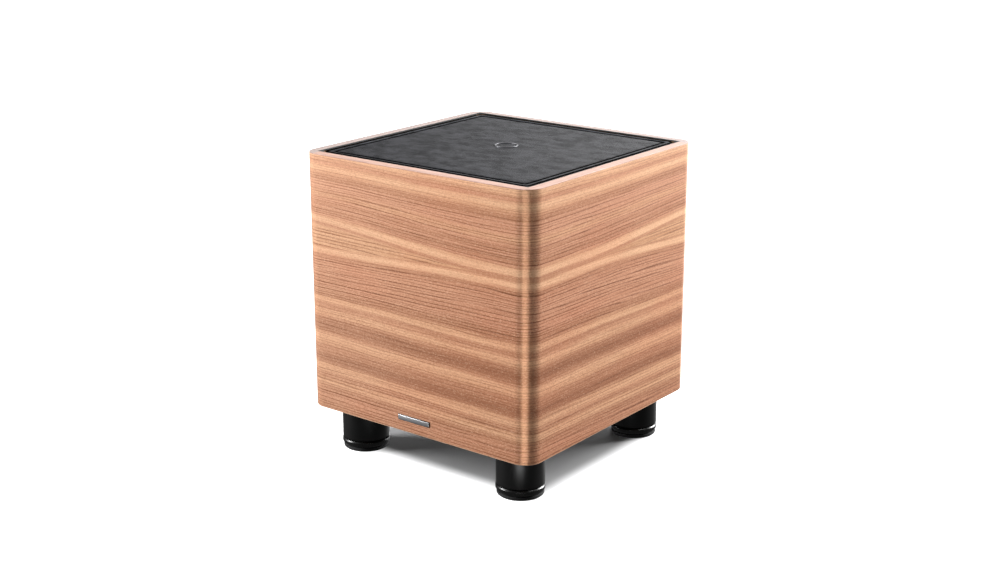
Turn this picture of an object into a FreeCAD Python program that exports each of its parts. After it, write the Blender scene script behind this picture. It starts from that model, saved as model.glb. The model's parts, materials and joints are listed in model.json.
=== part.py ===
import FreeCAD, Part
import math
import os

# Active subwoofer, floor standing.
# Frame: millimetres, origin on the floor under the centre of the cabinet, +Z up,
# front of the cabinet towards -Y, amplifier at the rear (+Y), driver fires down.

V = FreeCAD.Vector
doc = FreeCAD.newDocument("Subwoofer")
sheet = doc.addObject("Spreadsheet::Sheet", "Dims")
row = [0]


class Dim:
    """A length that knows its value and its expression."""

    def __init__(self, value, text):
        self.v = float(value)
        self.t = text

    def __add__(self, other):
        o = as_dim(other)
        return Dim(self.v + o.v, "(%s + %s)" % (self.t, o.t))

    def __radd__(self, other):
        return as_dim(other) + self

    def __sub__(self, other):
        o = as_dim(other)
        return Dim(self.v - o.v, "(%s - %s)" % (self.t, o.t))

    def __rsub__(self, other):
        return as_dim(other) - self

    def __neg__(self):
        return Dim(-self.v, "(0 - %s)" % self.t)

    def __mul__(self, k):
        return Dim(self.v * k, "(%s * %r)" % (self.t, float(k)))

    __rmul__ = __mul__


def as_dim(x):
    if isinstance(x, Dim):
        return x
    x = float(x)
    return Dim(x, "%.6f" % x if x >= 0 else "(0 - %.6f)" % (-x))


def dim(alias, value):
    row[0] += 1
    sheet.set("A%d" % row[0], alias)
    sheet.set("B%d" % row[0], repr(float(value)))
    sheet.setAlias("B%d" % row[0], alias)
    return Dim(value, "Dims." + alias)


# ---------------------------------------------------------------- driving sizes
half = dim("cabinet_half_width", 175.0)        # outer half width and half depth
foot_h = dim("foot_height", 60.0)              # floor to the cabinet's lower edge
top_z = dim("overall_height", 390.0)
veneer = dim("veneer_thickness", 0.8)
wall = dim("wall_thickness", 16.0)
corner = dim("corner_radius", 22.0)
inner_corner = dim("inner_corner_radius", 8.0)
rim_t = dim("rim_thickness", 0.8)
baffle_z = dim("baffle_underside", 62.0)
baffle_t = dim("baffle_thickness", 18.0)
top_lo = dim("top_board_underside", 366.0)
top_hi = dim("top_board_upper", 384.0)
inlay_half = dim("inlay_half", 152.7)
inlay_top = dim("inlay_upper", 387.4)
leather_half = dim("leather_half", 154.7)
leather_top = dim("leather_upper", 389.2)
leather_corner = dim("leather_corner", 9.0)
emblem_r = dim("emblem_outer", 15.0)
emblem_y = dim("emblem_offset", 10.0)
badge_w = dim("badge_width", 50.0)
badge_h = dim("badge_height", 7.5)
badge_z = dim("badge_centre", 78.0)
badge_t = dim("badge_proud", 1.5)
brace_z = dim("brace_underside", 200.0)
brace_t = dim("brace_thickness", 12.0)

foot_xy = dim("foot_centre", 125.0)
foot_r = dim("foot_outer", 30.0)
ring_r = dim("ring_outer", 30.5)
pad_r = dim("pad_outer", 29.0)
pad_t = dim("pad_thickness", 5.0)
ring_top = dim("ring_upper", 13.5)
column_lo = dim("column_underside", 14.5)
bore_r = dim("foot_bore", 5.05)
stud_r = dim("foot_stud", 5.0)
stud_top = dim("stud_upper", 45.0)
foot_bolt_r = dim("foot_bolt", 4.0)

flange_r = dim("driver_flange_outer", 130.0)
flange_lo = dim("driver_flange_underside", 57.0)
flange_hi = dim("driver_flange_upper", 60.0)
cutout_r = dim("driver_cutout", 116.5)
roll_c = dim("roll_centre", 98.0)
roll_z = dim("roll_level", 60.5)
roll_out = dim("roll_outer", 10.5)
roll_in = dim("roll_inner", 9.5)
back_z = dim("driver_back_plate", 125.0)
plate_t = dim("top_plate_thickness", 8.0)
magnet_t = dim("magnet_thickness", 25.0)
magnet_r = dim("magnet_outer", 70.0)
yoke_t = dim("yoke_thickness", 9.0)
yoke_r = dim("yoke_outer", 66.0)
pole_r = dim("pole_outer", 24.5)
former_in = dim("former_inner", 25.2)
former_out = dim("former_outer", 25.6)
coil_out = dim("coil_outer", 27.0)
gap_out = dim("gap_outer", 27.6)
screw_pcr = dim("driver_screw_circle", 123.0)

tray_w = dim("tray_half_width", 118.0)
tray_lo = dim("tray_lower", 143.0)
tray_hi = dim("tray_upper", 367.0)
pan_w = dim("pan_half_width", 105.0)
pan_lo = dim("pan_lower", 156.0)
pan_hi = dim("pan_upper", 354.0)
tray_t = dim("tray_sheet", 2.5)
pan_y = dim("pan_face", 163.0)                  # outer face of the recessed panel
seal_t = dim("amp_seal", 1.0)
cover_w = dim("cover_half_width", 100.0)
cover_lo = dim("cover_lower", 160.0)
cover_hi = dim("cover_upper", 350.0)
cover_y = dim("cover_front", 100.0)
cover_t = dim("cover_sheet", 1.5)
knob_r = dim("knob_outer", 9.5)
knob_tip = dim("knob_tip", 176.5)
shaft_r = dim("knob_shaft", 3.0)
shaft_bore = dim("bush_bore", 3.05)
lead_r = dim("lead_radius", 1.2)

sheet.recompute()
doc.recompute()

exported = []


# ---------------------------------------------------------------- helpers
def bind(obj, prop, d):
    d = as_dim(d)
    if "Dims." in d.t:
        obj.setExpression(prop, d.t)
    return d.v


def place(obj, x=0, y=0, z=0, rot=None):
    x, y, z = as_dim(x), as_dim(y), as_dim(z)
    obj.Placement = FreeCAD.Placement(V(x.v, y.v, z.v), rot or FreeCAD.Rotation())
    for k, d in (("x", x), ("y", y), ("z", z)):
        bind(obj, "Placement.Base." + k, d)


def node(obj, name):
    obj.Label = name
    exported.append((name, obj))
    return obj


def box(name, x0, x1, y0, y1, z0, z1):
    x0, x1, y0, y1, z0, z1 = [as_dim(a) for a in (x0, x1, y0, y1, z0, z1)]
    b = doc.addObject("Part::Box", name)
    b.Length, b.Width, b.Height = x1.v - x0.v, y1.v - y0.v, z1.v - z0.v
    bind(b, "Length", x1 - x0)
    bind(b, "Width", y1 - y0)
    bind(b, "Height", z1 - z0)
    place(b, x0, y0, z0)
    return b


AXES = {
    "z": FreeCAD.Rotation(),
    "y": FreeCAD.Rotation(V(1, 0, 0), -90),
    "x": FreeCAD.Rotation(V(0, 1, 0), 90),
}


def cyl(name, r, length, x, y, z, axis="z"):
    c = doc.addObject("Part::Cylinder", name)
    c.Radius = bind(c, "Radius", r)
    c.Height = bind(c, "Height", length)
    place(c, x, y, z, AXES[axis])
    return c


def group(kind, name, items):
    f = doc.addObject(kind, name)
    if kind == "Part::Compound":
        f.Links = items
    else:
        f.Shapes = items
    return f


def fuse(name, items):
    return items[0] if len(items) == 1 else group("Part::MultiFuse", name, items)


def cut(name, base, tools):
    c = doc.addObject("Part::Cut", name)
    c.Base = base
    c.Tool = fuse(name + "_tools", tools)
    return c


def common(name, a, b):
    c = doc.addObject("Part::Common", name)
    c.Base, c.Tool = a, b
    return c


def tube(name, r0, r1, z0, z1, x=0, y=0):
    z0, z1 = as_dim(z0), as_dim(z1)
    a = cyl(name + "_out", r1, z1 - z0, x, y, z0)
    b = cyl(name + "_in", r0, z1 - z0 + 2, x, y, z0 - 1)
    return cut(name, a, [b])


def origin_plane(body, role):
    for f in body.Origin.OriginFeatures:
        if f.Role == role:
            return f
    raise RuntimeError("no " + role)


def poly_sketch(body, name, role, pts):
    sk = body.newObject("Sketcher::SketchObject", name)
    sk.AttachmentSupport = [(origin_plane(body, role), "")]
    sk.MapMode = "FlatFace"
    pts = [(as_dim(a), as_dim(b)) for a, b in pts]
    n = len(pts)
    for i in range(n):
        a, b = pts[i], pts[(i + 1) % n]
        sk.addGeometry(Part.LineSegment(V(a[0].v, a[1].v, 0), V(b[0].v, b[1].v, 0)), False)
    for i in range(n):
        sk.addConstraint(Sketcher.Constraint("Coincident", i, 2, (i + 1) % n, 1))
    for i, (px, py) in enumerate(pts):
        for d, kind, axis in ((px, "DistanceX", -2), (py, "DistanceY", -1)):
            if abs(d.v) < 1e-9:
                sk.addConstraint(Sketcher.Constraint("PointOnObject", i, 1, axis))
            else:
                k = sk.addConstraint(Sketcher.Constraint(kind, -1, 1, i, 1, d.v))
                if "Dims." in d.t:
                    sk.setExpression("Constraints[%d]" % k, d.t)
    return sk


def turned(name, pts, x=0, y=0, z=0, rot=None):
    """A piece turned about its own Z axis from a (radius, height) outline."""
    body = doc.addObject("PartDesign::Body", name)
    sk = poly_sketch(body, name + "_profile", "XZ_Plane", pts)
    rev = body.newObject("PartDesign::Revolution", name + "_turn")
    rev.Profile = sk
    rev.ReferenceAxis = (sk, ["V_Axis"])
    rev.Angle = 360.0
    body.Tip = rev
    place(body, x, y, z, rot)
    return body


def prism(name, pts, z0, z1, x=0, y=0, rot=None):
    """A piece padded upwards from an outline in plan."""
    z0, z1 = as_dim(z0), as_dim(z1)
    body = doc.addObject("PartDesign::Body", name)
    sk = poly_sketch(body, name + "_plan", "XY_Plane", pts)
    pad = body.newObject("PartDesign::Pad", name + "_pad")
    pad.Profile = sk
    pad.Length = bind(pad, "Length", z1 - z0)
    body.Tip = pad
    place(body, x, y, z0, rot)
    return body


def rounded(name, hx, hy, z0, z1, r):
    """A block with four rounded upright edges, centred on the Z axis."""
    hx, hy = as_dim(hx), as_dim(hy)
    body = prism(name, [(-hx, -hy), (hx, -hy), (hx, hy), (-hx, hy)], z0, z1)
    doc.recompute()
    pad = body.Tip
    names = []
    for i, e in enumerate(pad.Shape.Edges):
        a, b = e.Vertexes[0].Point, e.Vertexes[-1].Point
        if abs(a.x - b.x) < 1e-6 and abs(a.y - b.y) < 1e-6:
            names.append("Edge%d" % (i + 1))
    f = body.newObject("PartDesign::Fillet", name + "_round")
    f.Base = (pad, names)
    f.Radius = bind(f, "Radius", r)
    body.Tip = f
    return body


import Sketcher

# ---------------------------------------------------------------- cabinet walls
panel_half = half - veneer
inner_half = panel_half - wall
panel_top = top_z - rim_t
ring = cut(
    "wall_ring",
    rounded("wall_outer", panel_half, panel_half, foot_h, panel_top, corner - veneer),
    [rounded("wall_inner", inner_half, inner_half, foot_h - 1, panel_top + 1, inner_corner)],
)
reach = half + 10
wedges = {
    "front": [(0, 0), (-reach, -reach), (reach, -reach)],
    "right": [(0, 0), (reach, -reach), (reach, reach)],
    "rear": [(0, 0), (reach, reach), (-reach, reach)],
    "left": [(0, 0), (-reach, reach), (-reach, -reach)],
}
sides = {}
for side, pts in wedges.items():
    w = prism("mitre_" + side, pts, foot_h - 1, top_z + 1)
    sides[side] = common(side + "_blank", ring, w)
for side in ("front", "right", "left"):
    node(sides[side], side + "_panel")

# amplifier opening and rebate in the rear wall
seat_y = half - tray_t - seal_t
opening = box("amp_opening", -pan_w - 1, pan_w + 1, 120, half + 5, pan_lo - 1, pan_hi + 1)
rebate = box("amp_rebate", -tray_w - 0.3, tray_w + 0.3, seat_y, half + 5, tray_lo - 0.3, tray_hi + 0.3)
amp_xz = []
for zz in (tray_lo + 6.5, tray_hi - 6.5):
    for xx in (-111.5, -37.2, 37.2, 111.5):
        amp_xz.append((as_dim(xx), zz))
for zz in (220.0, 290.0):
    for xx in (-111.5, 111.5):
        amp_xz.append((as_dim(xx), as_dim(zz)))
pilots = [
    cyl("amp_pilot_%d" % i, 1.75, 14, xx, seat_y - 12, zz, "y")
    for i, (xx, zz) in enumerate(amp_xz)
]
node(cut("rear_wall", sides["rear"], [opening, rebate] + pilots), "rear_panel")

# veneer skin round all four sides, with the rim laid over the top edge
skin = cut(
    "veneer_ring",
    rounded("veneer_outer", half, half, foot_h, panel_top, corner),
    [rounded("veneer_inner", panel_half, panel_half, foot_h - 1, panel_top + 1, corner - veneer)],
)
skin_hole = box("veneer_window", -tray_w - 0.3, tray_w + 0.3, 150, half + 5, tray_lo - 0.3, tray_hi + 0.3)
node(cut("veneer_skin", skin, [skin_hole]), "veneer_wrap")
node(
    cut(
        "rim_ring",
        rounded("rim_outer", half, half, panel_top, top_z, corner),
        [rounded("rim_inner", inner_half, inner_half, panel_top - 1, top_z + 1, inner_corner)],
    ),
    "rim_veneer",
)

# ---------------------------------------------------------------- top
node(rounded("top_slab", inner_half, inner_half, top_lo, top_hi, inner_corner), "top_board")
node(rounded("inlay_slab", inner_half * 0 + inlay_half, inlay_half, top_hi, inlay_top, leather_corner - 2), "inlay_board")
node(
    cut(
        "leather_cap",
        rounded("leather_outer", leather_half, leather_half, top_hi, leather_top, leather_corner),
        [rounded("leather_inner", inlay_half, inlay_half, top_hi - 1, inlay_top, leather_corner - 2)],
    ),
    "leather_cover",
)
node(
    turned(
        "emblem_body",
        [
            (emblem_r - 2.0, leather_top),
            (emblem_r, leather_top),
            (emblem_r, leather_top + 0.4),
            (emblem_r - 0.5, top_z),
            (emblem_r - 1.5, top_z),
            (emblem_r - 2.0, leather_top + 0.4),
        ],
        0, emblem_y, 0,
    ),
    "emblem_ring",
)

# ---------------------------------------------------------------- front badge
badge_front = prism(
    "badge_body",
    [
        (-badge_w * 0.5, 0),
        (badge_w * 0.5, 0),
        (badge_w * 0.5, badge_t - 0.5),
        (badge_w * 0.5 - 0.5, badge_t),
        (-badge_w * 0.5 + 0.5, badge_t),
        (-badge_w * 0.5, badge_t - 0.5),
    ],
    0, badge_h,
)
place(badge_front, 0, -half, badge_z + badge_h * 0.5, FreeCAD.Rotation(V(1, 0, 0), 180))
node(badge_front, "front_badge")

# ---------------------------------------------------------------- baffle and brace
screw_xy = [
    (screw_pcr * math.cos(math.radians(22.5 + 45 * k)), screw_pcr * math.sin(math.radians(22.5 + 45 * k)))
    for k in range(8)
]
feet = {"fl": (-1, -1), "fr": (1, -1), "rl": (-1, 1), "rr": (1, 1)}
baffle_top = baffle_z + baffle_t
baffle_tools = [cyl("baffle_cutout", cutout_r, baffle_t + 2, 0, 0, baffle_z - 1)]
for i, (xx, yy) in enumerate(screw_xy):
    baffle_tools.append(cyl("baffle_pilot_%d" % i, 2.4, 17, xx, yy, baffle_z - 1))
for k, (sx, sy) in feet.items():
    baffle_tools.append(cyl("baffle_bolt_hole_" + k, 4.5, baffle_t + 2, foot_xy * sx, foot_xy * sy, baffle_z - 1))
node(
    cut("baffle_cut", rounded("baffle_slab", inner_half, inner_half, baffle_z, baffle_top, inner_corner), baffle_tools),
    "bottom_baffle",
)
brace_lo, brace_hi = brace_z, brace_z + brace_t
brace_blank = box("brace_blank", -inner_half, inner_half, -inner_half + 0.0, 92, brace_lo, brace_hi)
corner_tools = []
for side, sx in (("l", -1), ("r", 1)):
    corner_tools.append(
        prism(
            "brace_snip_" + side,
            [
                (inner_half * sx, -inner_half),
                ((inner_half - 9) * sx, -inner_half),
                (inner_half * sx, -inner_half + 9),
            ] if sx > 0 else [
                (-inner_half, -inner_half),
                (-inner_half, -inner_half + 9),
                (-inner_half + 9, -inner_half),
            ],
            brace_lo - 1, brace_hi + 1,
        )
    )
window = box("brace_window", -112, 112, -112, 60, brace_lo - 1, brace_hi + 1)
node(cut("brace_cut", brace_blank, [window] + corner_tools), "window_brace")

# ---------------------------------------------------------------- damping wadding
pads = [
    box("wadding_front", -112, 112, -inner_half, -inner_half + 28, 226, 350),
    box("wadding_left", -inner_half, -inner_half + 28, -104, 80, 226, 350),
    box("wadding_right", inner_half - 28, inner_half, -104, 80, 226, 350),
]
node(group("Part::Compound", "wadding_set", pads), "wadding_pads")

# ---------------------------------------------------------------- feet
bolts = []
for k, (sx, sy) in feet.items():
    fx, fy = foot_xy * sx, foot_xy * sy
    node(
        turned(
            "column_" + k,
            [
                (bore_r, column_lo),
                (foot_r - 0.8, column_lo),
                (foot_r, column_lo + 0.8),
                (foot_r, baffle_z),
                (foot_bolt_r, baffle_z),
                (foot_bolt_r, baffle_z - 12),
                (0, baffle_z - 12),
                (0, baffle_z - 15),
                (bore_r, baffle_z - 15),
            ],
            fx, fy, 0,
        ),
        "foot_column_" + k,
    )
    node(
        turned(
            "adjuster_" + k,
            [
                (0, pad_t + 3.5),
                (6.05, pad_t + 3.5),
                (6.05, pad_t),
                (ring_r - 1.9, pad_t),
                (ring_r, pad_t + 3),
                (ring_r, ring_top - 1.2),
                (ring_r - 1.2, ring_top),
                (25, ring_top),
                (25, column_lo),
                (stud_r, column_lo),
                (stud_r, stud_top - 0.8),
                (stud_r - 0.8, stud_top),
                (0, stud_top),
            ],
            fx, fy, 0,
        ),
        "foot_adjuster_" + k,
    )
    node(
        turned(
            "pad_" + k,
            [
                (0, 0),
                (pad_r - 1.4, 0),
                (pad_r, 1.2),
                (pad_r, pad_t),
                (6, pad_t),
                (6, pad_t + 3.3),
                (0, pad_t + 3.3),
            ],
            fx, fy, 0,
        ),
        "foot_pad_" + k,
    )
    bolts.append(
        turned(
            "bolt_" + k,
            [
                (0, baffle_z - 10),
                (foot_bolt_r, baffle_z - 10),
                (foot_bolt_r, baffle_top),
                (6.5, baffle_top),
                (6.5, baffle_top + 5.0),
                (6.0, baffle_top + 5.5),
                (0, baffle_top + 5.5),
            ],
            fx, fy, 0,
        )
    )
node(group("Part::Compound", "bolt_set", bolts), "foot_bolts")

# ---------------------------------------------------------------- driver
basket_turn = turned(
    "basket_turned",
    [
        (flange_r, flange_lo),
        (flange_r, flange_hi),
        (116, flange_hi),
        (113.5, flange_hi + 3),
        (75.5, 104),
        (64, back_z - 3),
        (64, back_z),
        (30, back_z),
        (30, back_z - 3),
        (61, back_z - 3),
        (71.5, 106),
        (62, 106),
        (62, 104),
        (72.5, 104),
        (110.5, flange_hi + 3),
        (105, flange_hi + 3),
        (105, flange_hi + 1),
        (111, flange_hi + 1),
        (112.5, flange_lo),
    ],
)
shelf = box("basket_shelf", 80.5, 97, -10, 10, 96, 99)
windows = []
for k in range(6):
    a0, a1 = math.radians(30 + 60 * k - 21), math.radians(30 + 60 * k + 21)
    windows.append(
        prism(
            "basket_window_%d" % k,
            [
                (40 * math.cos((a0 + a1) / 2), 40 * math.sin((a0 + a1) / 2)),
                (150 * math.cos(a0), 150 * math.sin(a0)),
                (150 * math.cos(a1), 150 * math.sin(a1)),
            ],
            69, 99,
        )
    )
holes = [cyl("flange_hole_%d" % i, 2.6, 8, xx, yy, flange_lo - 2) for i, (xx, yy) in enumerate(screw_xy)]
node(
    cut("basket_cut", fuse("basket_blank", [cut("basket_open", basket_turn, windows), shelf]), holes),
    "woofer_basket",
)
gasket_holes = [cyl("gasket_hole_%d" % i, 2.6, 5, xx, yy, flange_hi - 1) for i, (xx, yy) in enumerate(screw_xy)]
node(cut("gasket_cut", tube("gasket_ring", cutout_r, flange_r, flange_hi, baffle_z), gasket_holes), "woofer_gasket")
plate_top = back_z + plate_t
magnet_top = plate_top + magnet_t
node(tube("top_plate_ring", gap_out, 60, back_z, plate_top), "woofer_top_plate")
node(tube("magnet_ring", 32, magnet_r, plate_top, magnet_top), "woofer_magnet")
node(
    turned(
        "yoke_turned",
        [
            (8, back_z),
            (pole_r - 0.5, back_z),
            (pole_r, back_z + 0.5),
            (pole_r, magnet_top),
            (yoke_r, magnet_top),
            (yoke_r, magnet_top + yoke_t - 2),
            (yoke_r - 2, magnet_top + yoke_t),
            (10, magnet_top + yoke_t),
            (8, magnet_top + yoke_t - 2),
        ],
    ),
    "woofer_yoke",
)
node(
    turned(
        "cone_turned",
        [
            (88, 61),
            (88, 62.2),
            (83.9, 62.2),
            (former_out, 99.5),
            (former_out, 98),
            (84.1, 61),
        ],
    ),
    "woofer_cone",
)
cap_r, cap_low, cap_edge = 38.0, 80.0, 90.0
cap_R = (cap_r ** 2 + (cap_edge - cap_low) ** 2) / (2 * (cap_edge - cap_low))


def ball(name, r, z):
    s = doc.addObject("Part::Sphere", name)
    s.Radius = r
    place(s, 0, 0, z)
    return s


cap_shell = cut("cap_shell", ball("cap_ball", cap_R, cap_low + cap_R), [ball("cap_hollow", cap_R - 0.8, cap_low + cap_R)])
node(common("cap_common", cap_shell, cyl("cap_trim", cap_r, cap_edge - cap_low + 2, 0, 0, cap_low - 2)), "woofer_dust_cap")
node(tube("former_tube", former_in, former_out, 96, 140), "voice_coil_former")
node(tube("coil_tube", former_out, coil_out, 121, 137), "voice_coil")


def ring_torus(name, rr, r, z):
    t = doc.addObject("Part::Torus", name)
    t.Radius1 = bind(t, "Radius1", rr)
    t.Radius2 = bind(t, "Radius2", r)
    place(t, 0, 0, z)
    return t


roll = cut("roll_shell", ring_torus("roll_a", roll_c, roll_out, roll_z), [ring_torus("roll_b", roll_c, roll_in, roll_z)])
roll_half = common("roll_lower", roll, cyl("roll_keep", 130, roll_out + 2, 0, 0, roll_z - roll_out - 2))
land_out = tube("land_outer", roll_c + roll_in, 111, roll_z - 0.5, roll_z + 0.5)
land_in = tube("land_inner", 84, roll_c - roll_in, roll_z - 0.5, roll_z + 0.5)
node(fuse("surround_all", [roll_half, land_out, land_in]), "woofer_surround")
zig = [(25.6, 102.6), (29.0, 102.6)]
spider_low, spider_high = [], []
stations = [29.0, 33.0, 37.0, 41.0, 45.0, 49.0, 53.0, 57.0, 61.0]
for i, rr in enumerate(stations):
    zz = 102.6 + (1.2 if i % 2 else -1.0)
    spider_low.append((rr, zz))
spider_low = [(25.6, 102.6)] + spider_low + [(63.0, 103.2), (71.0, 103.2)]
spider_high = [(r, zz + 0.8) for r, zz in reversed(spider_low)]
node(turned("spider_turned", spider_low + spider_high), "woofer_spider")
node(box("terminal_block", 84, 95, -9, 9, 99, 108), "woofer_terminals")
screws = []
for i, (xx, yy) in enumerate(screw_xy):
    screws.append(
        turned(
            "driver_screw_%d" % i,
            [
                (0, flange_lo - 2.5),
                (3.2, flange_lo - 2.5),
                (4.2, flange_lo - 1.2),
                (4.2, flange_lo),
                (2.4, flange_lo),
                (2.4, baffle_z + 14),
                (0, baffle_z + 15.5),
            ],
            xx, yy, 0,
        )
    )
node(group("Part::Compound", "driver_screw_set", screws), "woofer_screws")

# ---------------------------------------------------------------- amplifier tray
jack_xz = [(-84.0, 186.0), (-62.0, 186.0), (-84.0, 216.0)]
knob_xz = {"volume": (-72.0, 312.0), "crossover": (-30.0, 312.0)}
inlet_x, inlet_z = 70.0, 180.0
rocker_x, rocker_z = 70.0, 214.0
rocker_y, pivot_r = 158.6, 1.2
slide_x, slide_z = -52.0, 268.0
led_x, led_z = 70.0, 240.0
pan_back = pan_y - tray_t
flange_back = half - tray_t
tray_solid = fuse(
    "tray_blank",
    [
        box("tray_flange", -tray_w, tray_w, flange_back, half, tray_lo, tray_hi),
        box("tray_pan", -pan_w, pan_w, pan_back, half, pan_lo, pan_hi),
    ],
)
tray_tools = [
    box("tray_hollow", -pan_w + tray_t, pan_w - tray_t, pan_y, half + 1, pan_lo + tray_t, pan_hi - tray_t),
    box("tray_inlet", inlet_x - 13.6, inlet_x + 13.6, pan_back - 1, pan_y + 1, inlet_z - 10.1, inlet_z + 10.1),
    box("tray_rocker", rocker_x - 9.6, rocker_x + 9.6, pan_back - 1, pan_y + 1, rocker_z - 6.6, rocker_z + 6.6),
    box("tray_slide", slide_x - 4.6, slide_x + 4.6, pan_back - 1, pan_y + 1, slide_z - 2.6, slide_z + 2.6),
    cyl("tray_led", 1.6, tray_t + 2, led_x, pan_back - 1, led_z, "y"),
]
for i, (xx, zz) in enumerate(jack_xz):
    tray_tools.append(cyl("tray_jack_%d" % i, 5.2, tray_t + 2, xx, pan_back - 1, zz, "y"))
for k, (xx, zz) in knob_xz.items():
    tray_tools.append(cyl("tray_bush_" + k, 4.1, tray_t + 2, xx, pan_back - 1, zz, "y"))
for i, (xx, zz) in enumerate(amp_xz):
    tray_tools.append(cyl("tray_hole_%d" % i, 2.1, tray_t + 2, xx, flange_back - 1, zz, "y"))
    tray_tools.append(cyl("tray_sink_%d" % i, 3.7, 3, xx, half - 1.5, zz, "y"))
node(cut("tray_cut", tray_solid, tray_tools), "amp_tray")

seal_holes = [cyl("seal_hole_%d" % i, 2.1, 4, xx, seat_y - 1, zz, "y") for i, (xx, zz) in enumerate(amp_xz)]
node(
    cut(
        "seal_cut",
        box("seal_blank", -tray_w, tray_w, seat_y, flange_back, tray_lo, tray_hi),
        [box("seal_window", -pan_w - 1, pan_w + 1, seat_y - 1, half, pan_lo - 1, pan_hi + 1)] + seal_holes,
    ),
    "amp_gasket",
)
FACE_REAR = FreeCAD.Rotation(V(1, 0, 0), -90)
amp_screws = []
for i, (xx, zz) in enumerate(amp_xz):
    amp_screws.append(
        turned(
            "amp_screw_%d" % i,
            [
                (0, 0),
                (1.75, 1.5),
                (1.75, 11.5),
                (3.5, 11.5),
                (3.5, 12.6),
                (3.0, 13.0),
                (0, 13.0),
            ],
            xx, seat_y - 10.0 + 0.5, zz, FACE_REAR,
        )
    )
node(group("Part::Compound", "amp_screw_set", amp_screws), "amp_screws")

node(
    cut(
        "cover_cut",
        box("cover_outer", -cover_w, cover_w, cover_y, pan_back, cover_lo, cover_hi),
        [box("cover_hollow", -cover_w + cover_t, cover_w - cover_t, cover_y + cover_t, pan_back + 1, cover_lo + cover_t, cover_hi - cover_t)],
    ),
    "amp_cover",
)

# ---------------------------------------------------------------- amplifier internals
post_xz = [(-8.0, 252.0), (88.0, 252.0), (-8.0, 340.0), (88.0, 340.0)]
board_holes = [cyl("board_hole_%d" % i, 1.7, 6, xx, 128, zz, "y") for i, (xx, zz) in enumerate(post_xz)]
node(cut("board_cut", box("board_blank", -16, 95, 130, 131.6, 246, 346), board_holes), "amp_board")
posts = [cyl("post_%d" % i, 3.2, pan_back - 131.6, xx, 131.6, zz, "y") for i, (xx, zz) in enumerate(post_xz)]
node(group("Part::Compound", "post_set", posts), "board_standoffs")
fins = [box("sink_base", 2, 80, 126, 130, 262, 334)]
for k in range(9):
    fins.append(box("sink_fin_%d" % k, 2.0 + k * 9.45, 4.4 + k * 9.45, 106, 127, 262, 334))
node(fuse("sink_all", fins), "heat_sink")
tr = turned(
    "transformer_turned",
    [
        (10, 2),
        (12, 0),
        (30, 0),
        (34, 4),
        (34, 28),
        (30, 32),
        (12, 32),
        (10, 30),
    ],
    0, pan_back - 32, 204, FACE_REAR,
)
node(tr, "power_transformer")
cans = [cyl("can_%d" % i, 10.5, 25.5, xx, 131.6, zz, "y") for i, (xx, zz) in enumerate([(14, 270), (40, 270), (66, 270), (14, 322), (40, 322), (66, 322)])]
node(group("Part::Compound", "can_set", cans), "reservoir_capacitors")

# mains inlet: flanged shell with an open socket facing the rear
inlet_shell = fuse(
    "inlet_blank",
    [
        box("inlet_flange", inlet_x - 15.5, inlet_x + 15.5, pan_y, pan_y + 2.5, inlet_z - 12, inlet_z + 12),
        box("inlet_shell", inlet_x - 13.5, inlet_x + 13.5, 141, pan_y + 1, inlet_z - 10, inlet_z + 10),
    ],
)
node(
    cut(
        "inlet_cut",
        inlet_shell,
        [box("inlet_socket", inlet_x - 12.2, inlet_x + 12.2, 147, pan_y + 5, inlet_z - 8.4, inlet_z + 8.4)],
    ),
    "mains_inlet",
)
blades = [
    box("blade_%d" % i, inlet_x + dx - 1.0, inlet_x + dx + 1.0, 147, 160.5, inlet_z + dz - 2, inlet_z + dz + 2)
    for i, (dx, dz) in enumerate([(-7.0, -1.5), (7.0, -1.5), (0.0, 2.5)])
]
node(group("Part::Compound", "blade_set", blades), "inlet_pins")

# rocker switch
switch_shell = fuse(
    "switch_blank",
    [
        box("switch_flange", rocker_x - 11, rocker_x + 11, pan_y, pan_y + 1.5, rocker_z - 8, rocker_z + 8),
        box("switch_shell", rocker_x - 9.5, rocker_x + 9.5, 146, pan_y + 1, rocker_z - 6.5, rocker_z + 6.5),
    ],
)
node(
    cut(
        "switch_cut",
        switch_shell,
        [
            box("switch_well", rocker_x - 8.2, rocker_x + 8.2, 150, pan_y + 5, rocker_z - 5.4, rocker_z + 5.4),
            cyl("switch_pivot_hole", pivot_r + 0.15, 18.4, rocker_x - 9.2, rocker_y, rocker_z, "x"),
        ],
    ),
    "power_switch_body",
)
rocker_w = 7.9
rocker = prism(
    "rocker_body",
    [
        (-4.0, -2.2),
        (3.5, -4.2),
        (5.8, -4.2),
        (4.4, 0),
        (5.8, 4.2),
        (3.5, 4.2),
        (-4.0, 2.2),
    ],
    0, 2 * rocker_w,
)
# outline's x runs to the rear (+Y), its y runs up (+Z), the pad runs along +X; tipped 8 degrees to its off side
base_rot = FreeCAD.Rotation(V(0, 1, 0), V(0, 0, 1), V(1, 0, 0), "ZXY")
tip = FreeCAD.Rotation(V(1, 0, 0), -8.0)
rocker_rot = tip.multiply(base_rot)
rocker.Placement = FreeCAD.Placement(V(rocker_x - rocker_w, rocker_y, rocker_z), rocker_rot)
# its two pivot pins stand in the side walls of the switch body
pivot = cyl("rocker_pivot", pivot_r, 18.0, rocker_x - 9.0, rocker_y, rocker_z, "x")
node(fuse("rocker_all", [rocker, pivot]), "power_rocker")

# phono jacks: turned barrels with a through socket
jacks = []
for i, (xx, zz) in enumerate(jack_xz):
    jacks.append(
        turned(
            "jack_%d" % i,
            [
                (1.6, 0),
                (5.0, 0),
                (5.0, 12.5),
                (6.4, 12.5),
                (6.4, 14.3),
                (4.15, 14.3),
                (4.15, 21.5),
                (3.75, 22.0),
                (1.6, 22.0),
            ],
            xx, pan_y - 12.5, zz, FACE_REAR,
        )
    )
node(group("Part::Compound", "jack_set", jacks), "phono_jacks")

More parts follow.
